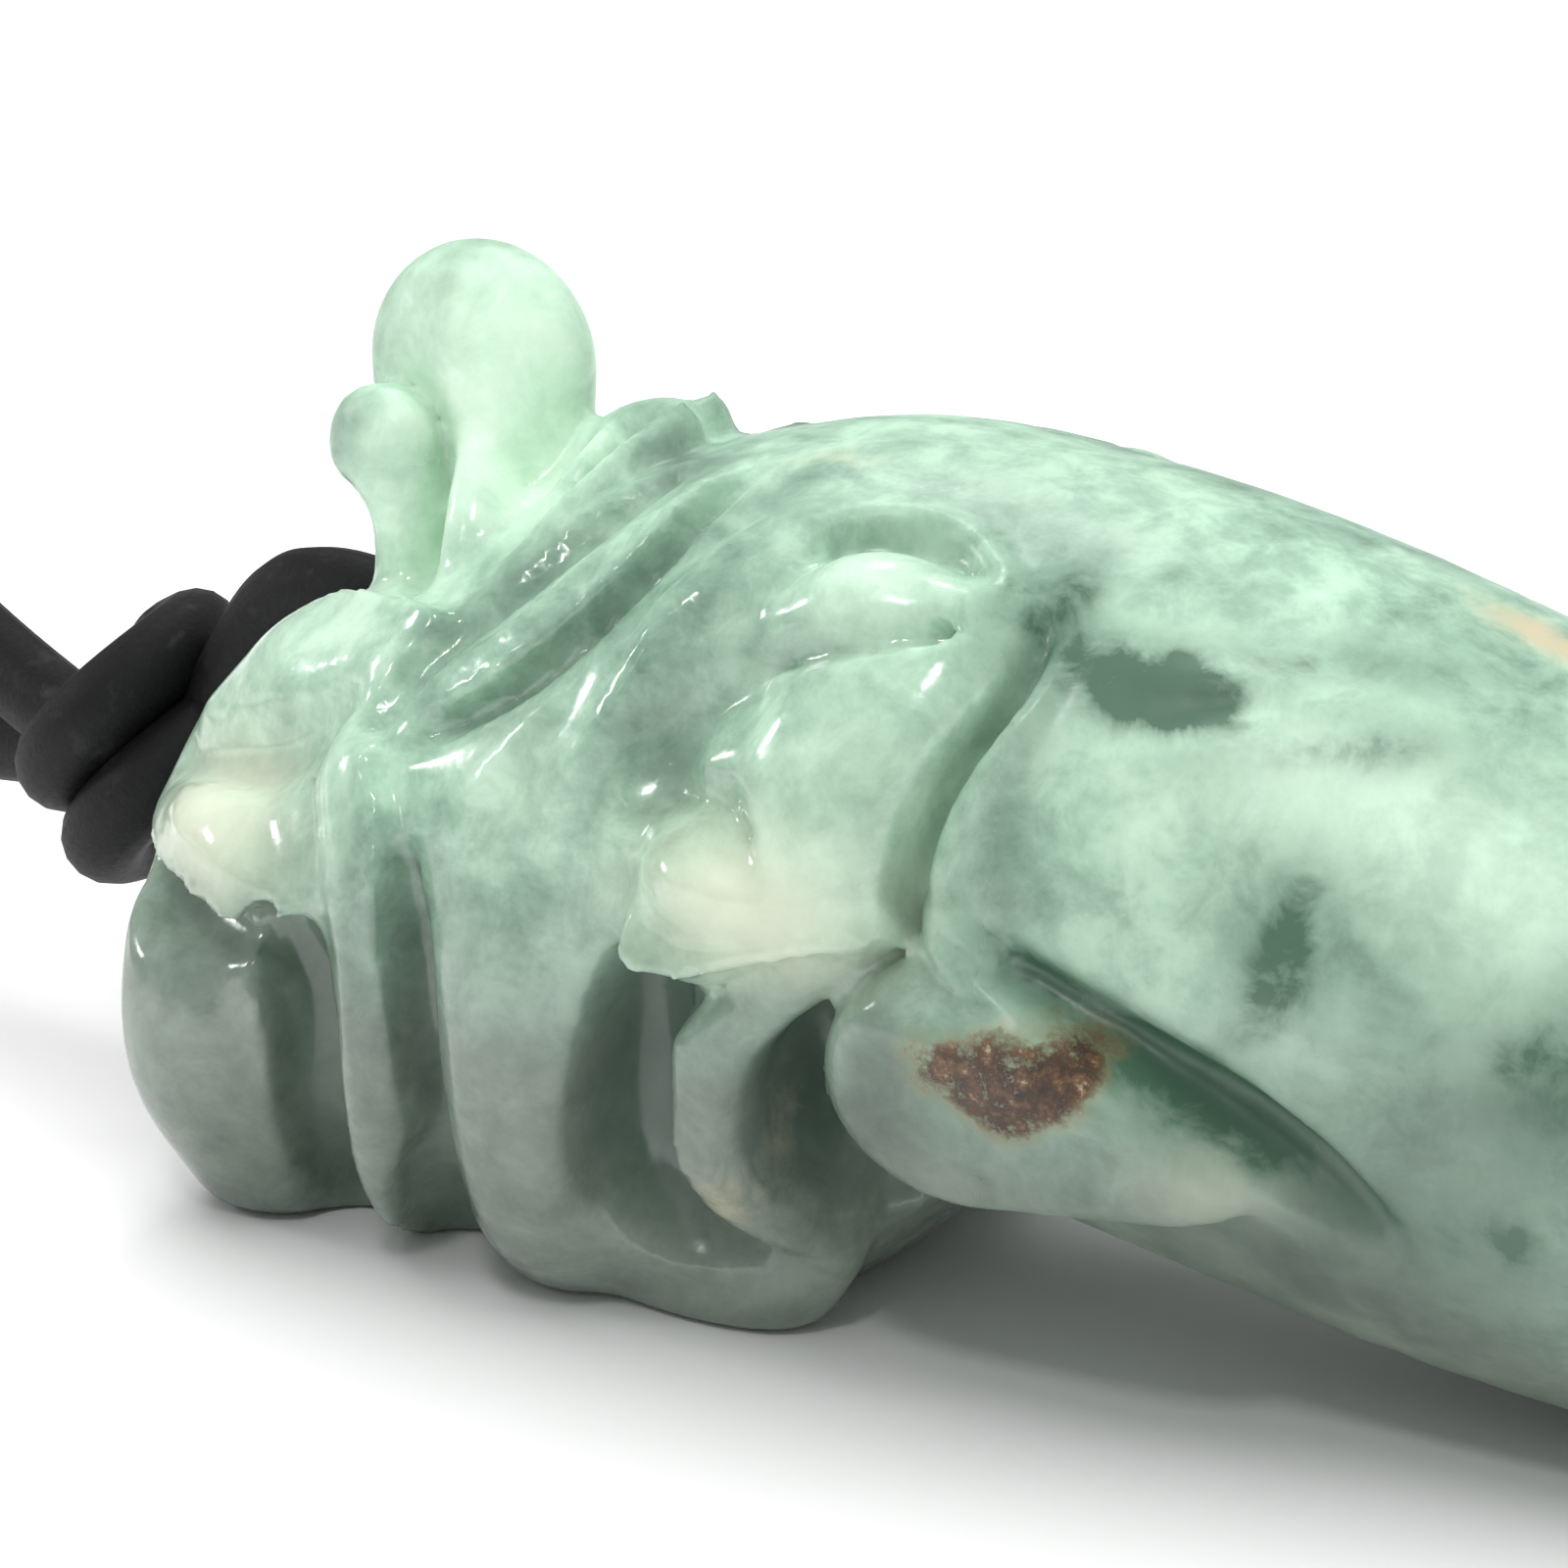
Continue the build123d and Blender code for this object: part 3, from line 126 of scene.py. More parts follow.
# The carved forms, each a row of sections along a line on the stone, made on both sides.
# name, raised or cut, softness of its edges, roundness of its section (2 is round, less is ridged,
# more is flat with steep sides), and the rows: x in units, angle up from the near side in degrees,
# lift of the middle over the stone, half width in units, half height. Lifts and heights are
# multiples of the relief.
forms = [
    ("mane lip", RAISED, 1.0, 2.0, [
        (-10.2, 24, -1.3, 0.8, 1.3),
        (-9.0, 32, -1.1, 1.4, 1.5),
        (-7.4, 36, -0.9, 2.0, 1.6),
        (-5.8, 36, -1.0, 1.7, 1.4),
        (-4.4, 34, -1.0, 1.0, 1.1),
    ]),
    ("side ridge", RAISED, 0.5, 2.0, [
        (-5.4, 27, -1.0, 0.8, 0.9),
        (-4.6, 19, -0.7, 0.9, 1.0),
        (-4.0, 9, -0.6, 0.95, 1.1),
        (-3.7, -3, -0.5, 0.8, 1.1),
        (-3.6, -14, -0.5, 0.7, 1.0),
        (-3.6, -30, -0.4, 0.75, 1.0),
        (-4.0, -42, -0.4, 0.55, 0.9),
        (-4.5, -54, -0.4, 0.25, 0.6),
    ]),
    ("left lobe", RAISED, 0.3, 2.0, [
        (-10.2, -18, -1.8, 1.5, 1.6),
        (-9.5, -30, -1.2, 2.1, 1.9),
        (-9.2, -44, -0.8, 2.3, 2.0),
        (-8.9, -60, -0.6, 2.2, 1.7),
    ]),
    ("wide column", RAISED, 0.5, 2.6, [
        (0.3, 8, -1.0, 1.5, 1.0),
        (0.3, -8, -0.8, 1.8, 1.2),
        (0.1, -26, -0.7, 1.6, 1.3),
        (0.0, -42, -0.6, 1.5, 1.3),
        (-0.3, -58, -0.7, 1.4, 1.2),
        (-0.4, -70, -0.8, 1.2, 1.0),
    ]),
    ("bottom lobe", RAISED, 0.4, 2.2, [
        (1.2, -63, -0.6, 1.0, 1.0),
        (2.6, -64, -0.4, 1.4, 1.1),
        (4.4, -62, -0.2, 1.3, 1.1),
        (5.9, -58, -0.1, 0.8, 0.8),
    ]),
    ("brow plate", RAISED, 0.6, 3.0, [
        (4.6, 52, -0.9, 0.8, 1.0),
        (5.8, 57, -0.9, 1.0, 1.2),
        (7.6, 56, -0.8, 1.5, 1.4),
        (8.6, 49, -0.7, 1.8, 1.5),
        (8.2, 38, -0.8, 2.1, 1.7),
        (7.6, 27, -0.8, 2.1, 1.8),
        (7.2, 18, -0.7, 1.9, 1.7),
    ]),
    ("under lip", CUT, 0.9, 2.0, [
        (-11.2, 9, 0.6, 0.6, 1.0),
        (-9.6, 12, 0.6, 0.9, 1.2),
        (-7.6, 16, 0.6, 1.0, 1.3),
        (-6.2, 21, 0.6, 0.7, 1.0),
        (-5.4, 27, 0.5, 0.3, 0.7),
    ]),
    ("under cap", CUT, 0.4, 2.4, [
        (-11.2, -12.5, 0.7, 0.5, 1.3),
        (-9.8, -14.5, 0.7, 0.8, 1.7),
        (-8.0, -15, 0.7, 0.8, 1.7),
        (-6.6, -13.5, 0.7, 0.4, 1.4),
    ]),
    ("cap", RAISED, 0.3, 1.6, [
        (-10.5, -1.5, -0.9, 0.6, 0.9),
        (-9.2, -1, -0.5, 0.95, 1.2),
        (-7.7, -1.5, -0.3, 1.1, 1.2),
        (-6.6, -4, -0.3, 0.85, 1.1),
        (-6.0, -6.5, -0.4, 0.45, 0.8),
    ]),
    ("left groove", CUT, 0.12, 4.0, [
        (-6.0, -10, 0.7, 0.4, 1.6),
        (-5.9, -15, 0.7, 1.3, 2.3),
        (-5.6, -24, 0.7, 1.3, 2.6),
        (-5.6, -34, 0.7, 1.3, 2.6),
        (-5.9, -45, 0.7, 1.2, 2.3),
        (-6.2, -60, 0.7, 1.1, 1.9),
    ]),
    ("groove line", RAISED, 0.1, 2.0, [
        (-5.6, -13, -1.5, 0.2, 0.4),
        (-5.5, -26, -1.7, 0.22, 0.4),
        (-5.3, -38, -1.7, 0.25, 0.5),
        (-5.0, -48, -1.3, 0.3, 0.5),
    ]),
    ("middle groove", CUT, 0.15, 3.0, [
        (-2.4, 6, 0.5, 0.25, 0.8),
        (-2.2, -5, 0.5, 0.45, 1.3),
        (-2.2, -14, 0.6, 0.6, 1.7),
        (-2.1, -26, 0.6, 0.58, 1.8),
        (-2.2, -37, 0.6, 0.68, 1.9),
        (-2.8, -47, 0.6, 1.0, 1.9),
        (-3.3, -60, 0.6, 1.3, 1.7),
    ]),
    ("upper groove", CUT, 0.25, 2.0, [
        (0.9, 71, 0.3, 0.3, 0.5),
        (0.0, 63, 0.4, 0.5, 0.8),
        (-1.3, 53, 0.4, 0.6, 0.9),
        (-2.6, 42, 0.4, 0.6, 0.8),
        (-3.6, 32, 0.4, 0.5, 0.8),
        (-4.0, 24, 0.4, 0.3, 0.6),
    ]),
    ("fold groove", CUT, 0.15, 2.0, [
        (3.0, 73, 0.3, 0.3, 0.5),
        (2.5, 61, 0.4, 0.36, 1.0),
        (1.8, 48, 0.4, 0.38, 1.1),
        (0.2, 35, 0.4, 0.38, 1.1),
        (-1.6, 27, 0.4, 0.38, 1.0),
        (-2.7, 22, 0.4, 0.3, 0.7),
    ]),
    ("fold crest", RAISED, 0.2, 1.6, [
        (0.9, 57, 0.1, 0.2, 0.25),
        (0.4, 50, 0.25, 0.22, 0.3),
        (-0.7, 41, 0.25, 0.24, 0.3),
        (-1.9, 34.5, 0.15, 0.2, 0.3),
        (-2.9, 30, 0.0, 0.15, 0.25),
    ]),
    ("mouth hollow", CUT, 0.12, 3.5, [
        (3.3, -5, 0.8, 0.7, 2.0),
        (3.1, -13, 0.8, 1.0, 2.9),
        (2.9, -22, 0.8, 1.15, 3.3),
        (2.7, -32, 0.8, 1.2, 3.3),
        (3.0, -40, 0.8, 1.3, 2.9),
        (3.9, -46, 0.7, 1.0, 2.2),
        (5.0, -50, 0.6, 0.5, 1.2),
    ]),
    ("under fang", CUT, 0.3, 3.0, [
        (3.4, -8, 0.9, 0.9, 2.2),
        (5.0, -6.5, 0.9, 0.7, 2.1),
        (6.6, -2, 0.8, 0.45, 1.7),
        (7.9, 2.5, 0.7, 0.25, 1.1),
    ]),
    ("jaw gap", CUT, 0.15, 3.0, [
        (9.2, 4, 0.7, 0.25, 1.2),
        (8.1, -5, 0.7, 0.4, 2.0),
        (6.9, -13, 0.7, 0.55, 2.8),
        (6.4, -21, 0.7, 0.8, 3.4),
        (6.5, -31, 0.7, 1.0, 3.4),
        (6.9, -42, 0.7, 0.9, 2.8),
        (7.6, -54, 0.7, 0.8, 2.2),
    ]),
    ("cheek valley", CUT, 0.9, 2.0, [
        (5.6, 38, 0.4, 0.4, 0.6),
        (4.4, 32, 0.4, 0.7, 1.0),
        (3.8, 25, 0.4, 0.75, 1.0),
        (4.5, 20.5, 0.4, 0.5, 0.8),
        (5.9, 16.5, 0.4, 0.35, 0.6),
    ]),
    ("brow hollow", CUT, 0.4, 2.0, [
        (6.0, 54, 0.6, 0.4, 0.9),
        (6.9, 58, 0.7, 0.8, 1.2),
        (8.0, 59, 0.7, 0.85, 1.2),
        (9.2, 56, 0.6, 0.45, 0.9),
    ]),
    ("eye groove", CUT, 0.2, 2.0, [
        (5.7, 39, 0.4, 0.3, 0.6),
        (7.4, 42.6, 0.4, 0.42, 1.0),
        (9.4, 46.6, 0.3, 0.35, 0.8),
    ]),
    ("nape groove", CUT, 0.2, 2.4, [
        (11.0, 56, 0.3, 0.3, 0.4),
        (11.1, 49, 0.4, 0.32, 0.8),
        (10.8, 40, 0.4, 0.32, 1.1),
        (10.1, 30, 0.4, 0.32, 1.2),
        (9.6, 20, 0.4, 0.32, 1.3),
        (9.5, 11, 0.4, 0.3, 1.1),
        (10.0, 6, 0.3, 0.28, 0.8),
    ]),
    ("leaf groove", CUT, 0.5, 2.0, [
        (10.6, 8.5, 0.4, 0.4, 0.8),
        (12.6, 2, 0.4, 0.5, 1.1),
        (14.6, -5, 0.4, 0.55, 1.2),
        (16.4, -12, 0.4, 0.65, 1.4),
        (18.0, -20, 0.4, 0.6, 1.3),
        (19.2, -28, 0.4, 0.4, 0.9),
    ]),
    ("leaf", RAISED, 0.15, 4.0, [
        (9.6, -5, -0.6, 1.2, 1.6),
        (9.9, -16, -0.2, 2.4, 1.7),
        (11.8, -17.5, -0.2, 2.2, 1.6),
        (13.8, -19.5, -0.1, 1.6, 1.4),
        (15.3, -22.5, 0.0, 0.9, 1.1),
        (16.4, -24.5, 0.0, 0.35, 0.6),
    ]),
    ("eyeball", RAISED, 0.1, 2.0, [
        (5.9, 46.5, -0.6, 0.9, 1.0),
        (7.4, 49.5, -0.3, 1.35, 1.3),
        (9.0, 51.5, -0.5, 1.0, 1.1),
    ]),
    ("eyelid", RAISED, 0.15, 1.8, [
        (6.0, 37.4, 0.0, 0.22, 0.3),
        (8.0, 41.2, 0.15, 0.25, 0.35),
        (10.0, 45.8, 0.15, 0.22, 0.3),
    ]),
    ("jaw strand", RAISED, 0.15, 3.0, [
        (8.6, 6.5, -0.4, 0.45, 0.8),
        (7.3, -0.5, -0.6, 0.6, 0.9),
        (5.9, -8, -0.9, 0.75, 0.9),
        (5.0, -16, -0.9, 0.85, 1.0),
        (4.7, -28, -0.9, 0.8, 1.0),
        (5.0, -38, -0.7, 0.8, 1.0),
        (5.8, -49, -0.5, 0.7, 0.9),
        (6.3, -58, -0.4, 0.4, 0.6),
    ]),
    ("fang", RAISED, 0.1, 1.3, [
        (4.5, 12.5, -0.3, 1.1, 1.3),
        (5.1, 10.5, 0.0, 1.5, 1.4),
        (6.3, 9.6, 0.15, 1.1, 1.2),
        (7.5, 9, 0.2, 0.6, 0.8),
        (8.7, 8, 0.0, 0.25, 0.45),
    ]),
    ("fang corner", RAISED, 0.1, 1.5, [
        (4.4, 6, -0.7, 0.6, 0.9),
        (4.3, 1.5, -0.6, 0.6, 0.9),
        (4.5, -1.8, -0.5, 0.6, 0.9),
        (5.7, 0.8, -0.4, 0.6, 0.8),
        (7.2, 4.5, -0.2, 0.4, 0.6),
    ]),
    ("cheek crest", RAISED, 0.5, 1.6, [
        (7.6, 30, -0.3, 0.5, 0.5),
        (7.9, 22, -0.1, 0.6, 0.6),
        (8.1, 15, -0.1, 0.5, 0.6),
    ]),
    ("rim", RAISED, 0.15, 1.8, [
        (11.5, 51, -0.1, 0.25, 0.3),
        (11.4, 42, 0.0, 0.28, 0.4),
        (10.7, 31, 0.0, 0.28, 0.5),
        (10.2, 21, 0.0, 0.28, 0.5),
        (10.2, 12, 0.0, 0.28, 0.5),
        (11.2, 6, -0.1, 0.28, 0.4),
    ]),
    ("rim strand", RAISED, 0.15, 1.8, [
        (9.8, 12, -0.2, 0.25, 0.4),
        (10.1, 7, 0.0, 0.3, 0.5),
        (10.9, 2, 0.2, 0.35, 0.5),
        (12.0, -2, 0.1, 0.3, 0.4),
        (13.0, -6, -0.1, 0.2, 0.3),
    ]),
    ("nape ridge", RAISED, 0.6, 2.2, [
        (-4.2, 90, -1.3, 0.9, 1.2),
        (-3.0, 90, -0.7, 0.9, 1.2),
        (-1.9, 90, -0.1, 0.8, 1.2),
        (-0.9, 90, 0.1, 0.7, 1.0),
    ]),
    ("back ridge", RAISED, 0.15, 1.6, [
        (-2.5, 54, -0.4, 0.4, 0.6),
        (-1.9, 62, -0.3, 0.5, 0.7),
        (-1.4, 70, -0.2, 0.55, 0.8),
        (-0.8, 78, 0.1, 0.55, 0.8),
        (-0.2, 86, 0.4, 0.5, 0.8),
    ]),
    ("back tuft", RAISED, 0.15, 1.8, [
        (-2.6, 66, -0.6, 0.4, 0.6),
        (-2.4, 73, -0.4, 0.45, 0.8),
        (-2.1, 80, 0.1, 0.45, 0.8),
        (-1.8, 87, 0.6, 0.4, 0.7),
    ]),
]
# Steps in the stone along a line, like the edge of a fold. The stone is raised on the line's right,
# seen from outside with the rows in order, and falls off to the line's left.
# name, height of the step as a multiple of the relief, how far the raised side reaches and how wide
# the step is, both in units, and the rows: x in units, angle in degrees, share of the height.
folds = [
    ("lip edge", 0.8, 3.0, 0.3, [
        (-9.0, 56, 0.6), (-7.4, 54, 1.0), (-5.8, 50, 1.0), (-3.6, 45, 0.8), (-1.6, 40, 0.0),
    ]),
    ("ridge edge", 0.7, 2.0, 0.25, [
        (-4.2, 28, 0.1), (-3.7, 20, 0.8), (-2.9, 10, 1.0), (-2.8, -4, 1.0), (-2.8, -16, 0.6),
        (-2.8, -30, 0.3),
    ]),
    ("ribbon edge", 0.5, 1.8, 0.35, [
        (1.6, 77, 0.0), (0.9, 72, 0.8), (0.3, 67, 1.0), (-0.6, 61, 1.0), (-1.4, 52, 0.5),
        (-2.2, 44, 0.0),
    ]),
    ("fold edge", 0.55, 2.4, 0.35, [
        (2.7, 76, 0.0), (2.6, 70, 0.4), (2.3, 63, 0.9), (1.7, 50, 1.0), (0.0, 37, 1.0),
        (-1.8, 29.5, 0.7), (-3.0, 26, 0.0),
    ]),
    ("side crease", 0.5, 2.2, 0.7, [
        (4.0, 50, 0.3), (3.3, 42, 1.0), (2.4, 28, 1.0), (1.3, 16, 0.6), (0.9, 8, 0.0),
    ]),
    ("low crease", 0.35, 1.6, 0.6, [
        (1.6, 36, 0.2), (0.2, 24, 1.0), (-1.0, 12, 1.0), (-1.3, 2, 0.0),
    ]),
    ("brow edge", 0.6, 2.6, 0.3, [
        (2.4, 38, 0.0), (3.2, 49, 0.3), (4.3, 59, 0.35), (5.6, 65, 0.25), (7.0, 67, 0.2),
        (8.8, 64, 0.25), (10.3, 56, 0.5), (10.8, 48, 0.9), (10.5, 38, 1.0), (9.8, 29, 1.0),
        (9.3, 21, 1.0), (9.2, 13, 1.0), (9.1, 7, 0.6),
    ]),
    ("cheek edge", 0.5, 2.4, 0.7, [
        (7.5, 11.5, 0.3), (6.0, 14, 0.8), (4.9, 18, 1.0), (4.5, 24, 1.0), (4.8, 31, 0.8),
        (5.7, 37, 0.2),
    ]),
    ("cap edge", 0.9, 2.6, 0.55, [
        (-4.6, -4, 0.3), (-5.2, -5, 0.8), (-6.2, -9.6, 1.0), (-6.8, -10.6, 1.0),
        (-8.4, -9.8, 1.0), (-10.2, -8.6, 0.8), (-11.4, -7, 0.4),
    ]),
    ("fang edge", 1.1, 2.4, 0.5, [
        (9.2, 6.5, 0.6), (8.1, 4.8, 1.0), (6.1, 0.8, 1.0), (5.0, -1.8, 1.0), (4.1, -4.0, 1.0),
        (3.8, -3.4, 1.0), (3.6, 1, 0.9), (3.7, 6, 0.6), (4.2, 14, 0.0),
    ]),
    ("leaf edge", 0.6, 2.2, 0.35, [
        (9.4, 6.5, 0.0), (10.8, 2.5, 0.8), (12.4, -2, 1.0), (15.2, -12, 1.0), (17.5, -24, 0.8),
    ]),
    ("low body edge", 0.3, 2.6, 0.6, [
        (12.6, 34, 0.0), (14.2, 39, 1.0), (15.7, 46, 1.0), (18.2, 53, 0.8), (21.5, 60, 0.0),
    ]),
    ("high body edge", 0.25, 1.3, 0.5, [
        (20.5, 58, 0.0), (17.8, 55, 0.8), (16.4, 52, 1.0), (14.5, 50, 1.0), (12.8, 47, 0.0),
    ]),
]
# The crest in the middle of the head and the curl on each side of it stand upright. x is in units,
# the height is a share of the crest's top, and the rest are shares of the crest's radius.
# x, from the middle, height, half width, half thickness
crest_sections = [
    (-6.0, 0.20, 0.62, 0.40, 0.70),
    (-5.9, 0.20, 0.735, 0.50, 0.66),
    (-5.8, 0.15, 0.80, 0.66, 0.64),
    (-5.8, 0.10, 0.86, 0.92, 0.66),
    (-5.8, 0.05, 0.91, 1.10, 0.70),
    (-5.8, 0.00, 0.96, 1.16, 0.72),
]
# The crest's edge, which comes down in front of the head on each side.
edge_sections = [
    (-5.0, 1.05, 0.64, 0.34, 0.44),
    (-4.8, 1.12, 0.70, 0.34, 0.42),
    (-4.6, 1.12, 0.755, 0.34, 0.42),
    (-4.55, 0.98, 0.805, 0.42, 0.42),
    (-5.2, 0.55, 0.86, 0.46, 0.42),
]
# The curl's rows, as the crest's. Its root spreads towards the muzzle.
curl_sections = [
    (-8.6, 0.80, 0.60, 0.36, 0.40),
    (-7.3, 0.84, 0.655, 0.40, 0.40),
    (-6.7, 0.86, 0.70, 0.36, 0.38),
    (-6.5, 0.88, 0.75, 0.35, 0.36),
    (-6.55, 0.90, 0.81, 0.37, 0.36),
    (-6.85, 0.90, 0.855, 0.47, 0.38),
    (-7.15, 0.88, 0.885, 0.56, 0.40),
    (-7.5, 0.86, 0.875, 0.46, 0.38),
]
# The valley down the crest beside the curl, as the crest's rows.
valley_sections = [
    (-7.4, 0.92, 0.965, 0.16, 0.22),
    (-6.5, 0.92, 0.925, 0.26, 0.34),
    (-5.95, 1.00, 0.87, 0.26, 0.40),
    (-5.55, 1.15, 0.805, 0.20, 0.38),
    (-5.4, 1.20, 0.74, 0.14, 0.30),
]
valley_blend = 0.7
crest_blend = 0.4
curl_blend = 0.25

# The cord's hole goes down from the top of the muzzle and turns out of its end. Its turns are
# slanted, and a groove leads the cord over the muzzle's end.
hole_x, hole_y = -9.9, 1.9
hole_turn_height = 7.2
hole_slant = 1.3
hole_end = -0.65 * head_length
hole_radius = cord_diameter / 2 + cord_clearance
arch_height = 12.6  # of the cord's middle line over the muzzle
arch_x = -12.9  # where the cord turns down towards its knot
knot_entry = (-16.6, 2.3, 7.7)
hole_route = [
    (hole_end, hole_y, hole_turn_height),
    (hole_x - hole_slant, hole_y, hole_turn_height),
    (hole_x, hole_y, hole_turn_height + hole_slant),
    (hole_x, hole_y, arch_height - hole_slant),
    (hole_x - hole_slant, hole_y, arch_height),
    (arch_x, hole_y, arch_height),
    knot_entry,
]


def smoothed(rows, steps):
    """The rows with steps rows for each, on a smooth curve through them."""
    rows = np.array(rows, float)
    padded = np.vstack([2 * rows[0] - rows[1], rows, 2 * rows[-1] - rows[-2]])
    spans = []
    t = np.linspace(0, 1, steps, endpoint=False)[:, None]
    for a, b, c, d in zip(padded[:-3], padded[1:-2], padded[2:-1], padded[3:]):
        bend = (2 * a - 5 * b + 4 * c - d) * t**2 + (3 * b - a - 3 * c + d) * t**3
        spans.append(b + 0.5 * ((c - a) * t + bend))
    return np.vstack(spans + [rows[-1:]])


def least(a, b, soft):
    """The smaller of two fields, with a fillet about as wide as soft where they meet."""
    if soft <= 0:
        return np.minimum(a, b)
    near = np.maximum(soft - np.abs(a - b), 0) / soft
    return np.minimum(a, b) - near * near * soft / 4


def most(a, b, soft):
    return -least(-a, -b, soft)


def head_field(x, y, z):
    """About the distance outside the plain head, less than zero inside it."""
    rows = smoothed(head_sections, 6)
    ends = rows[[0, -1], 0] * unit
    width, top, bottom, widest, square = (
        np.interp(x, rows[:, 0] * unit, column) for column in rows[:, 1:].T
    )
    width = np.maximum(width * head_width / 2, 0.05)
    top, bottom, widest = (v * head_height for v in (top, bottom, widest))
    reach = np.where(z > widest, top - widest, bottom - widest)
    across = np.abs(y) / width
    up = np.abs((z - widest) / reach)
    size = (across**square + up**square) ** (1 / square)
    field = (size - 1) * np.minimum(width, (top - bottom) / 2)
    return np.maximum(field, np.maximum(ends[0] - x, x - ends[1]))


def tooth_field(x, y, z):
    scale = np.array([tooth_length, head_height, tooth_radius])
    rows = smoothed(tooth_sections, 4) * scale
    field = None
    for (x0, z0, r0), (x1, z1, r1) in zip(rows[:-1], rows[1:]):
        run, rise = x1 - x0, z1 - z0
        t = np.clip(((x - x0) * run + (z - z0) * rise) / (run**2 + rise**2), 0, 1)
        off = np.sqrt((x - x0 - run * t) ** 2 + y**2 + (z - z0 - rise * t) ** 2)
        span = off - r0 - (r1 - r0) * t
        field = span if field is None else np.minimum(field, span)
    return field


def plain_field(x, y, z):
    return least(head_field(x, y, z), tooth_field(x, y, z), 1.2)


def on_stone(x, angle, lift):
    """A point over the plain stone and the way out of it there."""
    turn = math.radians(angle)
    out = np.array([0, -math.cos(turn), math.sin(turn)])
    reach = np.arange(0.5, head_width, 0.02)
    field = plain_field(np.full_like(reach, x), reach * out[1], axis_height + reach * out[2])
    radius = reach[np.flatnonzero(field < 0)[-1]] + lift
    return np.array([x, 0, axis_height]) + radius * out, out


class Stone:
    """The carving as a field on a grid of points."""

    def __init__(self, xs, ys, zs):
        self.axes = xs, ys, zs
        self.field = plain_field(*self.block([slice(None)] * 3))

    def block(self, part):
        xs, ys, zs = (axis[p] for axis, p in zip(self.axes, part))
        return xs[:, None, None], ys[None, :, None], zs[None, None, :]

    def near(self, low, high):
        """The part of the grid between two corners."""
        spans = []
        for axis, a, b in zip(self.axes, low, high):
            first, last = np.searchsorted(axis, [a, b])
            spans.append(slice(max(first - 1, 0), last + 1))
        return tuple(spans)

    def carve(self, points, outs, widths, heights, way, soft, roundness=2.0):
        """Adds or cuts a strand with the given half widths and half heights at its points."""
        rows = smoothed(np.hstack([points, outs, np.c_[widths, heights]]), 5)
        reach = rows[:, 6:].max() + max(soft, 0.3)
        part = self.near(rows[:, :3].min(0) - reach, rows[:, :3].max(0) + reach)
        x, y, z = self.block(part)
        strand = None
        for a, b in zip(rows[:-1], rows[1:]):
            run = b[:3] - a[:3]
            along = (x - a[0]) * run[0] + (y - a[1]) * run[1] + (z - a[2]) * run[2]
            t = np.clip(along / (run @ run + 1e-9), 0, 1)
            dx, dy, dz = (v - c - r * t for v, c, r in zip((x, y, z), a[:3], run))
            out = a[3:6] + b[3:6]
            out = out / np.linalg.norm(out)
            width, height = (np.maximum(a[k] + (b[k] - a[k]) * t, 0.02) for k in (6, 7))
            up = dx * out[0] + dy * out[1] + dz * out[2]
            side = np.sqrt(np.maximum(dx**2 + dy**2 + dz**2 - up**2, 0))
            size = (side / width) ** roundness + (np.abs(up) / height) ** roundness
            span = (size ** (1 / roundness) - 1) * np.minimum(width, height)
            strand = span if strand is None else np.minimum(strand, span)
        mix = least if way == RAISED else most
        self.field[part] = mix(self.field[part], way * strand, soft)

    def fold(self, rows, height, reach, step):
        """Raises the stone by a height on the right of a line of x, angle and share of height."""
        rows = smoothed(rows, 4)
        low, high = rows[:, 0].min() - reach, rows[:, 0].max() + reach
        part = self.near((low, -100, -100), (high, 100, 100))
        x, y, z = self.block(part)
        here = self.field[part]
        where = np.abs(here) < 3 * relief
        x, y, z = (np.broadcast_to(v, here.shape)[where] for v in (x, y, z))
        around = np.hypot(y, z - axis_height)
        turn = np.arctan2(z - axis_height, np.abs(y))
        nearest = np.full(x.shape, 1e9)
        raised = np.zeros(x.shape)
        for a, b in zip(rows[:-1], rows[1:]):
            run, climb = b[0] - a[0], np.radians(b[1] - a[1]) * around
            dx, da = x - a[0], (turn - np.radians(a[1])) * around
            t = np.clip((dx * run + da * climb) / (run**2 + climb**2 + 1e-9), 0, 1)
            off = np.hypot(dx - run * t, da - climb * t)
            right = dx * climb - da * run > 0
            share = a[2] + (b[2] - a[2]) * t
            far = np.where(right, 1 - off / reach, 1 - off / step)
            lift = share * height * np.clip(far, 0, 1) ** 2
            closer = off < nearest
            raised[closer] = lift[closer]
            nearest[closer] = off[closer]
        here[where] -= raised


def stand_up(stone, rows, way, soft):
    """Adds or cuts an upright strand and its mirror image. The rows are as the crest's."""
    across = np.tile([0.0, 1.0, 0.0], (len(rows), 1))
    widths, thicks = rows[:, 3] * crest_radius, rows[:, 4] * crest_radius
    for side in (1, -1):
        off = side * rows[:, 1] * crest_radius
        points = np.c_[rows[:, 0] * unit, off, rows[:, 2] * crest_top]
        stone.carve(points, across, widths, thicks, way, soft)


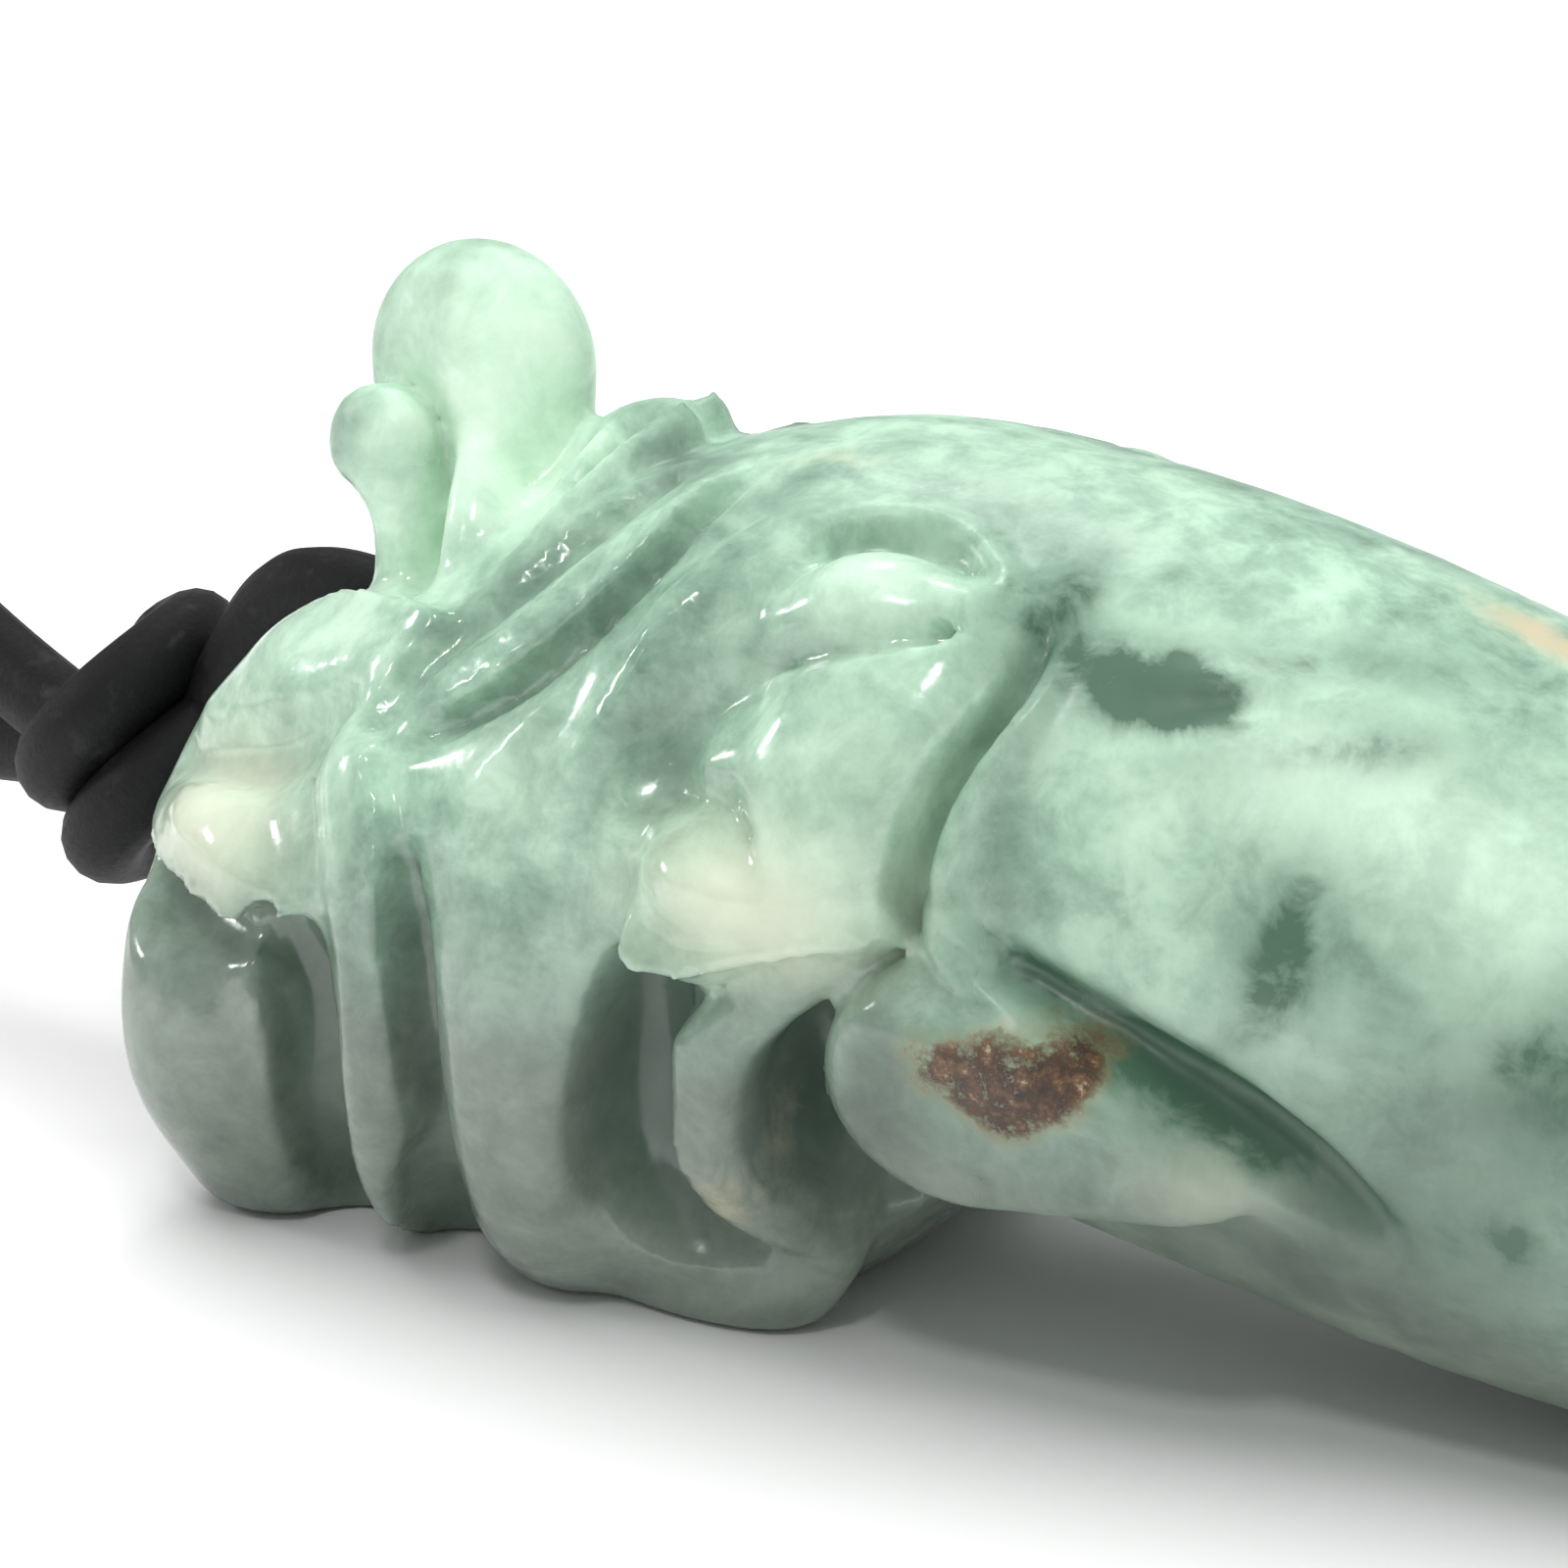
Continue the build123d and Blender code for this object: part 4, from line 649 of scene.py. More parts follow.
def carved_stone(stone):
    """Carves the whole dragon's head, its hole and its flat foot into a plain stone."""
    for _, height, reach, step, rows in folds:
        rows = [(x * unit, angle, share) for x, angle, share in rows]
        stone.fold(rows, height * relief, reach * unit, step * unit)
    for _, way, soft, roundness, rows in forms:
        placed = [on_stone(x * unit, angle, lift * relief) for x, angle, lift, _, _ in rows]
        points = np.array([point for point, _ in placed])
        outs = np.array([out for _, out in placed])
        widths = np.array([row[3] for row in rows]) * unit
        heights = np.array([row[4] for row in rows]) * relief
        for side in (1, -1):
            mirror = np.array([1, side, 1])
            stone.carve(points * mirror, outs * mirror, widths, heights, way, soft, roundness)

    stand_up(stone, np.array(crest_sections), RAISED, crest_blend)
    stand_up(stone, np.array(edge_sections), RAISED, curl_blend)
    stand_up(stone, np.array(valley_sections), CUT, valley_blend)
    stand_up(stone, np.array(curl_sections), RAISED, curl_blend)

    x, y, z = stone.block([slice(None)] * 3)
    hole = np.maximum(np.hypot(x - hole_x, y - hole_y) - hole_radius, arch_height - hole_slant - z)
    for start, end in zip(hole_route[:-1], hole_route[1:]):
        start, run = np.array(start), np.subtract(end, start)
        along = (x - start[0]) * run[0] + (y - start[1]) * run[1] + (z - start[2]) * run[2]
        t = np.clip(along / (run @ run), 0, 1)
        dx, dy, dz = (v - c - r * t for v, c, r in zip((x, y, z), start, run))
        hole = np.minimum(hole, np.sqrt(dx**2 + dy**2 + dz**2) - hole_radius)
    field = most(stone.field, -hole, 0.3)
    stone.field = most(field, -z + 0 * x + 0 * y, foot_blend)


def in_one_piece(field, seed):
    """The field with only the piece of stone that holds the grid point seed."""
    inside = field < 0
    piece = np.zeros_like(inside)
    piece[seed] = True
    size = 0
    while size != piece.sum():
        size = piece.sum()
        for axis in range(3):
            p = np.moveaxis(piece, axis, 0)
            p[1:] |= p[:-1]
            p[:-1] |= p[1:]
            piece &= inside
    return np.where(inside & ~piece, -field, field)


def untangled(field, small):
    """The field with no cell whose inside or outside corners touch only across a diagonal."""
    field = field.copy()
    low, high = slice(None, -1), slice(1, None)
    corners = [(i, j, k) for i in (low, high) for j in (low, high) for k in (low, high)]
    changed = True
    while changed:
        changed = False
        for axis in range(3):
            f = np.moveaxis(field, axis, 0)
            a, b, c, d = f[:, low, low], f[:, high, low], f[:, high, high], f[:, low, high]
            one = (a < 0) & (c < 0) & (b >= 0) & (d >= 0)
            two = (b < 0) & (d < 0) & (a >= 0) & (c >= 0)
            b[one] = -small
            a[two] = -small
            changed |= one.any() or two.any()
        count = sum((field[c] < 0).astype(int) for c in corners)
        for first, last in zip(corners[:4], corners[:3:-1]):
            apart = (count == 2) & (field[first] < 0) & (field[last] < 0)
            field[first][apart] = small
            pinched = (count == 6) & (field[first] >= 0) & (field[last] >= 0)
            field[first][pinched] = -small
            changed |= apart.any() or pinched.any()
    return field


def surface(field, axes):
    """Corners and four-sided faces of the surface where the field is zero, one corner to a cell."""
    inside = field < 0
    counts = sum(
        inside[i : i - 1 or None, j : j - 1 or None, k : k - 1 or None].astype(int)
        for i in (0, 1)
        for j in (0, 1)
        for k in (0, 1)
    )
    crossed = (counts > 0) & (counts < 8)
    cells = np.argwhere(crossed)
    number = np.full(crossed.shape, -1)
    number[crossed] = np.arange(len(cells))
    corners = [(i, j, k) for i in (0, 1) for j in (0, 1) for k in (0, 1)]
    values = np.stack([field[tuple((cells + c).T)] for c in corners], 1)
    total = np.zeros((len(cells), 3))
    count = np.zeros(len(cells))
    for p, low in enumerate(corners):
        for axis in range(3):
            if low[axis]:
                continue
            high = tuple(v + (m == axis) for m, v in enumerate(low))
            a, b = values[:, p], values[:, corners.index(high)]
            cut = (a < 0) != (b < 0)
            place = np.array(low, float) + np.outer(
                np.where(cut, a / np.where(cut, a - b, 1), 0), np.eye(3)[axis]
            )
            total += place * cut[:, None]
            count += cut
    place = total / count[:, None]
    points = np.stack(
        [
            axis[cells[:, m]] + place[:, m] * (axis[cells[:, m] + 1] - axis[cells[:, m]])
            for m, axis in enumerate(axes)
        ],
        1,
    )
    faces = []
    for axis in range(3):
        first, second = (axis + 1) % 3, (axis + 2) % 3
        cut = np.diff(inside, axis=axis)
        edges = np.argwhere(cut)
        keep = np.ones(len(edges), bool)
        for other in (first, second):
            keep &= (edges[:, other] > 0) & (edges[:, other] < crossed.shape[other])
        edges = edges[keep]
        ring = []
        for back in ((1, 1), (0, 1), (0, 0), (1, 0)):
            cell = edges.copy()
            cell[:, first] -= back[0]
            cell[:, second] -= back[1]
            ring.append(number[tuple(cell.T)])
        ring = np.stack(ring, 1)
        leaving = inside[tuple(edges.T)]
        ring[~leaving] = ring[~leaving][:, ::-1]
        faces.append(ring)
    return points, np.vstack(faces)


# The cord. The same routes as the solids', in millimetres, as control points of smooth lines.
lying = cord_diameter / 2 + floor_gap
neck_route = [
    (-17.3, 2.9, 7.5),
    (-23.2, 3.9, 6.8),
    (-29.5, 4.9, 6.1),
    (-42.0, 9.0, 3.2),
    (-59.0, 14.0, lying),
    (-88.0, 26.0, lying),
    (-128.0, 44.0, lying),
    (-174.0, 57.0, lying),
    (-222.0, 52.0, lying),
    (-260.0, 24.0, lying),
    (-271.0, -20.0, lying),
    (-248.0, -62.0, lying),
    (-201.0, -83.0, lying),
    (-151.0, -77.0, lying),
    (-107.0, -52.0, lying),
    (-72.0, -27.0, lying),
    (-50.0, -9.5, 3.6),
    (-36.0, 1.0, 8.6),
    (-27.5, 4.5, 10.7),
    (-21.6, 2.1, 9.0),
    (-18.0, 1.2, 8.0),
]
hanging_route = [
    (-17.6, 2.3, 7.6),
    (-16.2, 2.3, 8.2),
    (-14.6, 2.1, 10.3),
    (-13.1, 2.0, 12.45),
    (-11.6, hole_y, 12.8),
    (hole_x, hole_y, 12.55),
    (hole_x, hole_y, 10.4),
    (hole_x, hole_y, hole_turn_height),
    (-12.2, hole_y, hole_turn_height),
    (-17.4, 2.0, 7.6),
]


def cord_line(name, route):
    """A cord on one smooth line with the route's points as its control points."""
    data = bpy.data.curves.new(name, "CURVE")
    data.dimensions = "3D"
    data.bevel_depth = cord_diameter / 2 * mm
    data.bevel_resolution = 6
    data.resolution_u = 16
    data.use_fill_caps = True
    line = data.splines.new("NURBS")
    line.points.add(len(route) - 1)
    for point, place in zip(line.points, route):
        point.co = (*(v * mm for v in place), 1)
    line.order_u = 3
    line.use_endpoint_u = True
    line.resolution_u = 16
    cord = bpy.data.objects.new(name, data)
    scene.collection.objects.link(cord)
    return cord


def in_scene(name, points, faces):
    """A smooth-shaded mesh of points in millimetres."""
    mesh = bpy.data.meshes.new(name)
    mesh.from_pydata((points * mm).tolist(), [], faces.tolist())
    mesh.polygons.foreach_set("use_smooth", [True] * len(faces))
    piece = bpy.data.objects.new(name, mesh)
    scene.collection.objects.link(piece)
    return piece


# Stains in the stone, with painted light and painted shade as the light and shade kinds, seen from
# its near side. The far side has them further along.
# kind, x in units, angle up from the near side in degrees, half length and half width in
# millimetres, slant in degrees, strength
stains_and_painted_light = [
    ("green", 10.9, 60, 1.8, 1.0, 60, 0.62),
    ("green", 12.7, 48, 2.0, 1.1, -10, 0.8),
    ("green", 14.2, 46, 1.7, 0.9, 10, 0.75),
    ("green", 16.6, 60, 2.4, 0.8, 20, 0.6),
    ("green", 17.6, 46, 1.8, 0.6, 20, 0.6),
    ("green", 17.2, 16, 0.9, 1.7, 0, 0.8),
    ("green", 16.7, 7, 0.7, 1.5, -20, 0.6),
    ("green", 13.4, -2, 3.0, 0.5, -31, 1.0),
    ("green", 16.6, -13, 3.4, 0.7, -34, 1.0),
    ("green", 21.5, -26, 1.5, 0.9, -20, 0.75),
    ("green", 22.4, -1, 1.7, 1.7, 20, 0.8),
    ("green", 25.5, 20, 1.5, 2.0, 30, 0.7),
    ("green", 30.0, -10, 2.5, 1.6, 30, 0.8),
    ("green", 36.0, 30, 2.0, 1.4, 10, 0.6),
    ("tan", 19.6, 90, 1.9, 0.9, 0, 1.0),
    ("tan", 9.5, 92, 3.0, 0.7, 0, 0.25),
    ("tan", 16.8, 98, 2.5, 0.7, 0, 0.35),
    ("tan", 4.6, 74, 1.3, 0.8, 0, 0.4),
    ("tan", 4.8, -38, 1.2, 0.8, 50, 0.6),
    ("cream", 6.4, 9, 2.4, 1.6, 0, 1.0),
    ("cream", -8.4, 3, 2.4, 1.5, 0, 1.0),
    ("cream", 16.0, -21, 1.4, 1.0, -20, 0.4),
    # Painted shade: darker colour where the stone lies in shade, in places also its darker tone.
    ("shade", -7.9, 73, 0.7, 0.5, -20, 1.0),
    ("shade", 2.0, 50, 0.5, 5.0, -35, 0.7),
    ("shade", -1.4, 55, 1.2, 3.2, -30, 0.6),
    ("shade", 9.2, -12, 0.9, 2.6, 0, 0.8),
    ("shade", 1.2, -34, 1.6, 2.0, 0, 0.3),
    ("shade", 0.0, 46, 3.5, 3.5, 0, 0.45),
    ("shade", 4.2, 46, 1.6, 3.0, 0, 0.4),
    ("shade", -5.9, 80, 0.3, 3.0, 0, 0.3),
    ("shade", 11.3, 40, 0.5, 4.5, 0, 0.8),
    ("shade", 3.9, 27, 0.7, 1.6, 0, 0.5),
    ("shade", 7.6, 60, 1.6, 0.6, 0, 0.4),
    ("shade", 6.0, 41, 3.0, 0.35, 5, 0.4),
    ("shade", 23.0, -8, 9.0, 2.6, -10, 0.6),
    ("shade", 19.0, -34, 8.0, 3.0, -10, 0.9),
    ("shade", 1.0, 73, 1.8, 0.8, -50, 0.8),
    ("shade", 9.2, -10, 1.0, 2.2, 0, 0.8),
    ("shade", 5.8, -36, 1.0, 2.2, 0, 0.9),
    ("shade", 21.0, -8, 2.5, 1.8, 0, 0.7),
    ("shade", 18.6, -36, 3.0, 2.0, 0, 0.6),
    ("shade", 0.8, 78, 1.5, 1.0, -40, 0.8),
    ("shade", 8.4, 72, 2.2, 1.6, 0, 0.6),
    # Painted light: paler colour where light falls on the stone or shines through it, partly its
    # paler tone.
    ("light", -3.6, 84, 1.4, 1.8, 0, 0.9),
    ("light", -5.6, 79, 2.6, 3.2, 0, 0.75),
    ("light", -7.4, 36, 2.6, 1.5, 0, 0.4),
    ("light", 8.0, 26, 2.2, 3.2, 0, 0.7),
    ("light", 7.8, 49.5, 2.0, 0.9, 5, 0.45),
    ("light", 0.5, 22, 1.2, 2.2, 0, 0.45),
    ("light", -4.4, 8, 0.8, 3.0, 0, 0.5),
    ("light", 17.2, -2, 2.0, 1.6, 0, 0.6),
    ("light", 21.0, 2, 1.2, 4.0, 0, 0.5),
    ("light", 19.0, 36, 6.0, 2.2, -10, 0.8),
    ("light", -2.6, -29, 0.5, 2.2, 0, 0.35),
    ("pit", 10.7, -8.0, 1.1, 0.75, 0, 0.7),
    ("pit", 12.2, -8, 1.1, 0.9, 0, 0.8),
    ("pit", 13.3, -7.5, 0.7, 0.7, 0, 0.6),
    ("pit", 12.0, -13.5, 0.8, 0.6, 0, 0.6),
]


evening_rounds, evening_share = 3, 0.45  # how often and how far the stone's points are drawn


def evened(points, faces):
    """The points, each drawn part of the way to the middle of the ones next to it, in rounds."""
    starts = faces.ravel()
    ends = np.roll(faces, -1, axis=1).ravel()
    count = np.bincount(starts, minlength=len(points))[:, None]
    for _ in range(evening_rounds):
        total = [np.bincount(starts, points[ends, k], len(points)) for k in range(3)]
        points = points + evening_share * (np.stack(total, 1) / count - points)
    return points


def mark_strength(kind, points, shift, side):
    """How strongly a kind of mark, a stain, painted light or painted shade, shows at each point, up
    to about 1.

    shift is how far along the stone the marks lie, and side is 1 for the near one, -1 for the far.
    """
    out = points - [0, 0, axis_height]
    angle = np.degrees(np.arctan2(out[:, 2], -out[:, 1] * side))
    around = np.hypot(out[:, 1], out[:, 2])
    total = np.zeros(len(points))
    for name, x, up, length, width, slant, strength in stains_and_painted_light:
        if name != kind:
            continue
        dx = points[:, 0] - x * unit - shift
        da = np.radians(angle - up) * around
        tilt = math.radians(slant)
        along = dx * math.cos(tilt) + da * math.sin(tilt)
        across = da * math.cos(tilt) - dx * math.sin(tilt)
        total += strength * np.exp(-((along / length) ** 2) - (across / width) ** 2)
    return total


def socket(tree, node, name, value):
    """Links a node's output to an input, or sets the input to a plain value."""
    target = node.inputs[name]
    if isinstance(value, bpy.types.NodeSocket):
        tree.links.new(value, target)
    else:
        target.default_value = value


def math_node(tree, operation, a, b=0.0, clamp=False):
    """The result of a sum on two outputs or plain values."""
    node = tree.nodes.new("ShaderNodeMath")
    node.operation = operation
    node.use_clamp = clamp
    socket(tree, node, 0, a)
    socket(tree, node, 1, b)
    return node.outputs[0]


def ramp(tree, factor, stops):
    """A colour picked by the factor from stops of place and colour."""
    node = tree.nodes.new("ShaderNodeValToRGB")
    while len(node.color_ramp.elements) < len(stops):
        node.color_ramp.elements.new(0.5)
    for element, (place, colour) in zip(node.color_ramp.elements, stops):
        element.position = place
        element.color = (*colour, 1)
    socket(tree, node, "Fac", factor)
    return node.outputs[0]


def mix(tree, factor, a, b):
    """Colour a where the factor is 0 and colour b where it is 1."""
    node = tree.nodes.new("ShaderNodeMix")
    node.data_type = "RGBA"
    socket(tree, node, 0, factor)
    socket(tree, node, 6, (*a, 1) if isinstance(a, tuple) else a)
    socket(tree, node, 7, (*b, 1) if isinstance(b, tuple) else b)
    return node.outputs[2]


def material(name):
    """A material with its node tree, its shader and the place in millimetres."""
    made = bpy.data.materials.new(name)
    made.use_nodes = True
    tree = made.node_tree
    shader = tree.nodes["Principled BSDF"]
    place = tree.nodes.new("ShaderNodeTexCoord").outputs["Object"]
    scaled = tree.nodes.new("ShaderNodeVectorMath")
    scaled.operation = "SCALE"
    socket(tree, scaled, 0, place)
    scaled.inputs["Scale"].default_value = 1 / mm
    return made, tree, shader, scaled.outputs[0]


def noise(tree, place, scale, detail=4.0, rough=0.55, distortion=0.0):
    """Noise of a scale in marks per millimetre."""
    node = tree.nodes.new("ShaderNodeTexNoise")
    for name, value in (("Vector", place), ("Scale", scale), ("Detail", detail),
                        ("Roughness", rough), ("Distortion", distortion)):
        socket(tree, node, name, value)
    return node.outputs[0]


def attribute(tree, name):
    """A value that the stone's points carry."""
    node = tree.nodes.new("ShaderNodeAttribute")
    node.attribute_name = name
    return node.outputs["Fac"]


def stone_material():
    made, tree, shader, place = material("mottled stone")
    broad = noise(tree, place, 0.13, 5, 0.6, 0.6)
    fine = noise(tree, place, 0.75, 6, 0.62, 0.4)
    grain = noise(tree, place, 2.6, 8, 0.75)
    cloud = math_node(tree, "ADD", math_node(tree, "MULTIPLY", broad, 0.5),
                      math_node(tree, "MULTIPLY", fine, 0.38))
    cloud = math_node(tree, "ADD", cloud, math_node(tree, "MULTIPLY", grain, 0.12))
    colour = ramp(tree, cloud, [
        (0.36, (0.10, 0.19, 0.13)),
        (0.44, (0.22, 0.36, 0.265)),
        (0.51, (0.32, 0.50, 0.375)),
        (0.57, (0.44, 0.65, 0.495)),
        (0.68, (0.57, 0.79, 0.62)),
    ])
    # Painted light: the light marks mix in a paler colour where light falls on the stone or shines
    # through it, partly the stone's paler tone.
    lit_and_pale = ramp(tree, cloud, [
        (0.40, (0.50, 0.72, 0.55)),
        (0.50, (0.64, 0.87, 0.68)),
        (0.62, (0.80, 0.97, 0.81)),
    ])
    colour = mix(tree, math_node(tree, "MULTIPLY", attribute(tree, "light"), 0.9, True), colour,
                 lit_and_pale)
    # Painted shade: darker, greyer colour towards the stone's bottom and under the tooth, partly a
    # greyer tone of the stone.
    low_shade_and_grey = attribute(tree, "low_shade_and_grey")
    dim = ramp(tree, cloud, [
        (0.38, (0.105, 0.145, 0.115)),
        (0.50, (0.17, 0.22, 0.18)),
        (0.62, (0.25, 0.31, 0.26)),
    ])
    colour = mix(tree, low_shade_and_grey, colour, dim)
    # Painted shade: the shade marks darken the colour, in places also the stone's darker tone.
    colour = mix(tree, math_node(tree, "MULTIPLY", attribute(tree, "shade"), 0.7, True), colour,
                 mix(tree, 0.55, colour, (0.02, 0.04, 0.03)))
    # Painted shade: darker colour in the hollows, the deeper the darker.
    colour = mix(tree, math_node(tree, "MULTIPLY", attribute(tree, "hollow_shade"), 0.8, True), colour,
                 (0.09, 0.14, 0.11))
    cream = attribute(tree, "cream")
    colour = mix(tree, math_node(tree, "MULTIPLY", cream, 0.75, True), colour, (0.80, 0.84, 0.66))
    rough_edge = math_node(tree, "MULTIPLY", math_node(tree, "SUBTRACT", fine, 0.52), 3.8)
    for name, shade, gain in (
        ("green", (0.05, 0.125, 0.075), 1.6),
        ("tan", (0.56, 0.50, 0.33), 1.2),
    ):
        amount = math_node(tree, "ADD", attribute(tree, name), rough_edge)
        amount = math_node(tree, "MULTIPLY", attribute(tree, name), amount)
        amount = math_node(tree, "MULTIPLY", amount, gain, True)
        colour = mix(tree, math_node(tree, "MULTIPLY", amount, 0.95), colour, shade)
    uneven = math_node(tree, "MULTIPLY", math_node(tree, "SUBTRACT", grain, 0.5), 2.6)
    uneven = math_node(tree, "ADD", uneven, math_node(tree, "MULTIPLY", fine, 2.4))
    uneven = math_node(tree, "SUBTRACT", uneven, 0.2)
    pit = math_node(tree, "MULTIPLY", attribute(tree, "pit"), uneven)
    rim = math_node(tree, "MULTIPLY", math_node(tree, "SUBTRACT", pit, 0.18), 4.0, True)
    core = math_node(tree, "MULTIPLY", math_node(tree, "SUBTRACT", pit, 0.42), 4.0, True)
    brown = ramp(tree, grain, [
        (0.38, (0.022, 0.012, 0.007)),
        (0.50, (0.07, 0.034, 0.017)),
        (0.59, (0.16, 0.085, 0.035)),
        (0.68, (0.45, 0.40, 0.30)),
    ])
    colour = mix(tree, math_node(tree, "MULTIPLY", rim, 0.55), colour, (0.24, 0.20, 0.09))
    colour = mix(tree, core, colour, brown)
    socket(tree, shader, "Base Color", colour)
    split = tree.nodes.new("ShaderNodeSeparateXYZ")
    socket(tree, split, 0, place)
    back = math_node(tree, "SUBTRACT", split.outputs[0], 9.5)
    top = math_node(tree, "MULTIPLY", math_node(tree, "SUBTRACT", split.outputs[2], 16.5), 2.0)
    worn = math_node(tree, "MULTIPLY", math_node(tree, "MAXIMUM", back, top), 0.3, True)
    rough = math_node(tree, "ADD", 0.1, math_node(tree, "MULTIPLY", fine, 0.12))
    rough = math_node(tree, "ADD", rough, math_node(tree, "MULTIPLY", worn, 0.25))
    rough = math_node(tree, "ADD", rough, math_node(tree, "MULTIPLY", core, 0.2))
    socket(tree, shader, "Roughness", rough)
    shader.inputs["IOR"].default_value = 1.66
    shader.inputs["Specular IOR Level"].default_value = 0.5
    shader.inputs["Subsurface Weight"].default_value = 0.25
    shader.inputs["Subsurface Radius"].default_value = (0.75, 1.0, 0.8)
    shader.inputs["Subsurface Scale"].default_value = 1.0 * mm
    height = math_node(tree, "ADD", math_node(tree, "MULTIPLY", noise(tree, place, 0.9, 3), 0.5),
                       math_node(tree, "MULTIPLY", math_node(tree, "MULTIPLY", grain, core), 1.4))
    bump = tree.nodes.new("ShaderNodeBump")
    bump.inputs["Strength"].default_value = 0.35
    bump.inputs["Distance"].default_value = 0.15 * mm
    socket(tree, bump, "Height", height)
    socket(tree, shader, "Normal", bump.outputs[0])
    return made


def cord_material():
    made, tree, shader, place = material("black cord")
    grain = noise(tree, place, 6.0, 6, 0.65)
    worn = noise(tree, place, 0.8, 4, 0.6)
    rubbed = math_node(tree, "MULTIPLY", math_node(tree, "SUBTRACT", worn, 0.58), 5.0, True)
    rubbed = math_node(tree, "MULTIPLY", rubbed, grain)
    colour = mix(tree, rubbed, (0.005, 0.005, 0.006), (0.06, 0.06, 0.062))
    shader.inputs["Specular IOR Level"].default_value = 0.3
    socket(tree, shader, "Base Color", colour)
    socket(tree, shader, "Roughness", math_node(tree, "ADD", 0.42, math_node(
        tree, "MULTIPLY", grain, 0.3)))
    bump = tree.nodes.new("ShaderNodeBump")
    bump.inputs["Strength"].default_value = 0.5
    bump.inputs["Distance"].default_value = 0.06 * mm
    socket(tree, bump, "Height", grain)
    socket(tree, shader, "Normal", bump.outputs[0])
    return made


def floor_material():
    made, _, shader, _ = material("floor")
    shader.inputs["Base Color"].default_value = (0.9, 0.9, 0.9, 1)
    shader.inputs["Roughness"].default_value = 0.9
    shader.inputs["Specular IOR Level"].default_value = 0.1
    return made


# The stone, on a grid in millimetres that is fine where it is carved and coarser along the tooth
head_cell, tooth_cell = 0.22, 0.45
carved_from, carved_to = -13.8 * unit, 19 * unit
half = math.ceil((head_width / 2 + 2) / head_cell) * head_cell
xs = np.r_[np.arange(carved_from, carved_to, head_cell),
           np.arange(carved_to, tooth_length + 1, tooth_cell)]
ys = np.arange(-half, half + 0.1, head_cell)
zs = np.arange(-1.5 * head_cell, crest_top + crest_radius + 0.5, head_cell)
stone = Stone(xs, ys, zs)
carved_stone(stone)
middle = np.searchsorted(xs, 0), len(ys) // 2, np.searchsorted(zs, axis_height)
smallest_depth = 0.02
field = untangled(in_one_piece(stone.field, middle), smallest_depth)
points, faces = surface(field, (xs, ys, zs))
points = evened(points, faces)
carved = in_scene("carved_stone", points, faces)


def carry(name, values):
    """Gives each of the stone's points a value that its material reads."""
    layer = carved.data.attributes.new(name, "FLOAT", "POINT")
    layer.data.foreach_set("value", values)


near = points[:, 1] < 0
green_shift = 5.5  # of the far side's green marks along the stone
for kind in ("green", "tan", "cream", "light", "shade", "pit"):
    here = mark_strength(kind, points, 0, 1)
    there = mark_strength(kind, points, green_shift if kind == "green" else 0, -1) * (kind != "pit")
    carry(kind, np.where(near, here, there))
# Painted shade: darker and greyer below the tooth's middle line, partly the stone's greyer tone.
middles = np.array(tooth_sections)[:, :2] * [tooth_length, head_height]
below = np.interp(points[:, 0], *middles.T) - points[:, 2]
low = np.clip((below + 0.5) / 5, 0, 1)
carry("low_shade_and_grey", low * np.interp(points[:, 0], [8, 14], [0.98, 0.95]))  # the stone's lower half
# Painted shade in the hollows, darker the further they go into the plain stone.
hollow_shade = -plain_field(*points.T) - 0.3
carry("hollow_shade", np.clip(hollow_shade / 1.8, 0, 1))  # how far a hollow goes into the plain stone
carved.data.materials.append(stone_material())
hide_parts("carved_tooth")
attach(carved, "root")

# The cord
black = cord_material()
# Two turns round an axis, each end of them tucked in to the middle
wrap_axis = Vector((-0.587, -0.055, 0.807)).normalized()
wrap_middle, wrap_pitch = Vector((-17.65, 2.3, 8.15)), 2.15
side = wrap_axis.cross(Vector((0.48, -0.83, 0.29))).normalized()
near_side = side.cross(wrap_axis)
wrap_route = []
turn_steps, first_step, last_step = 12, -6, 18
tucked, wide = 0.2, 1.03  # shares of the wrap's radius, at its two ends and between them
for step in range(first_step, last_step + 1):
    around = step / turn_steps * math.tau
    last = step in (first_step, last_step)
    along = wrap_pitch * (tucked if last else 1) * (step / turn_steps - 0.5)
    middle = wrap_middle + wrap_axis * along
    out = wrap_radius * (tucked if last else wide)
    wrap_route.append(middle + out * (near_side * math.cos(around) + side * math.sin(around)))
loop = cord_line("neck_loop", neck_route)
hanging = cord_line("hanging_loop", hanging_route)
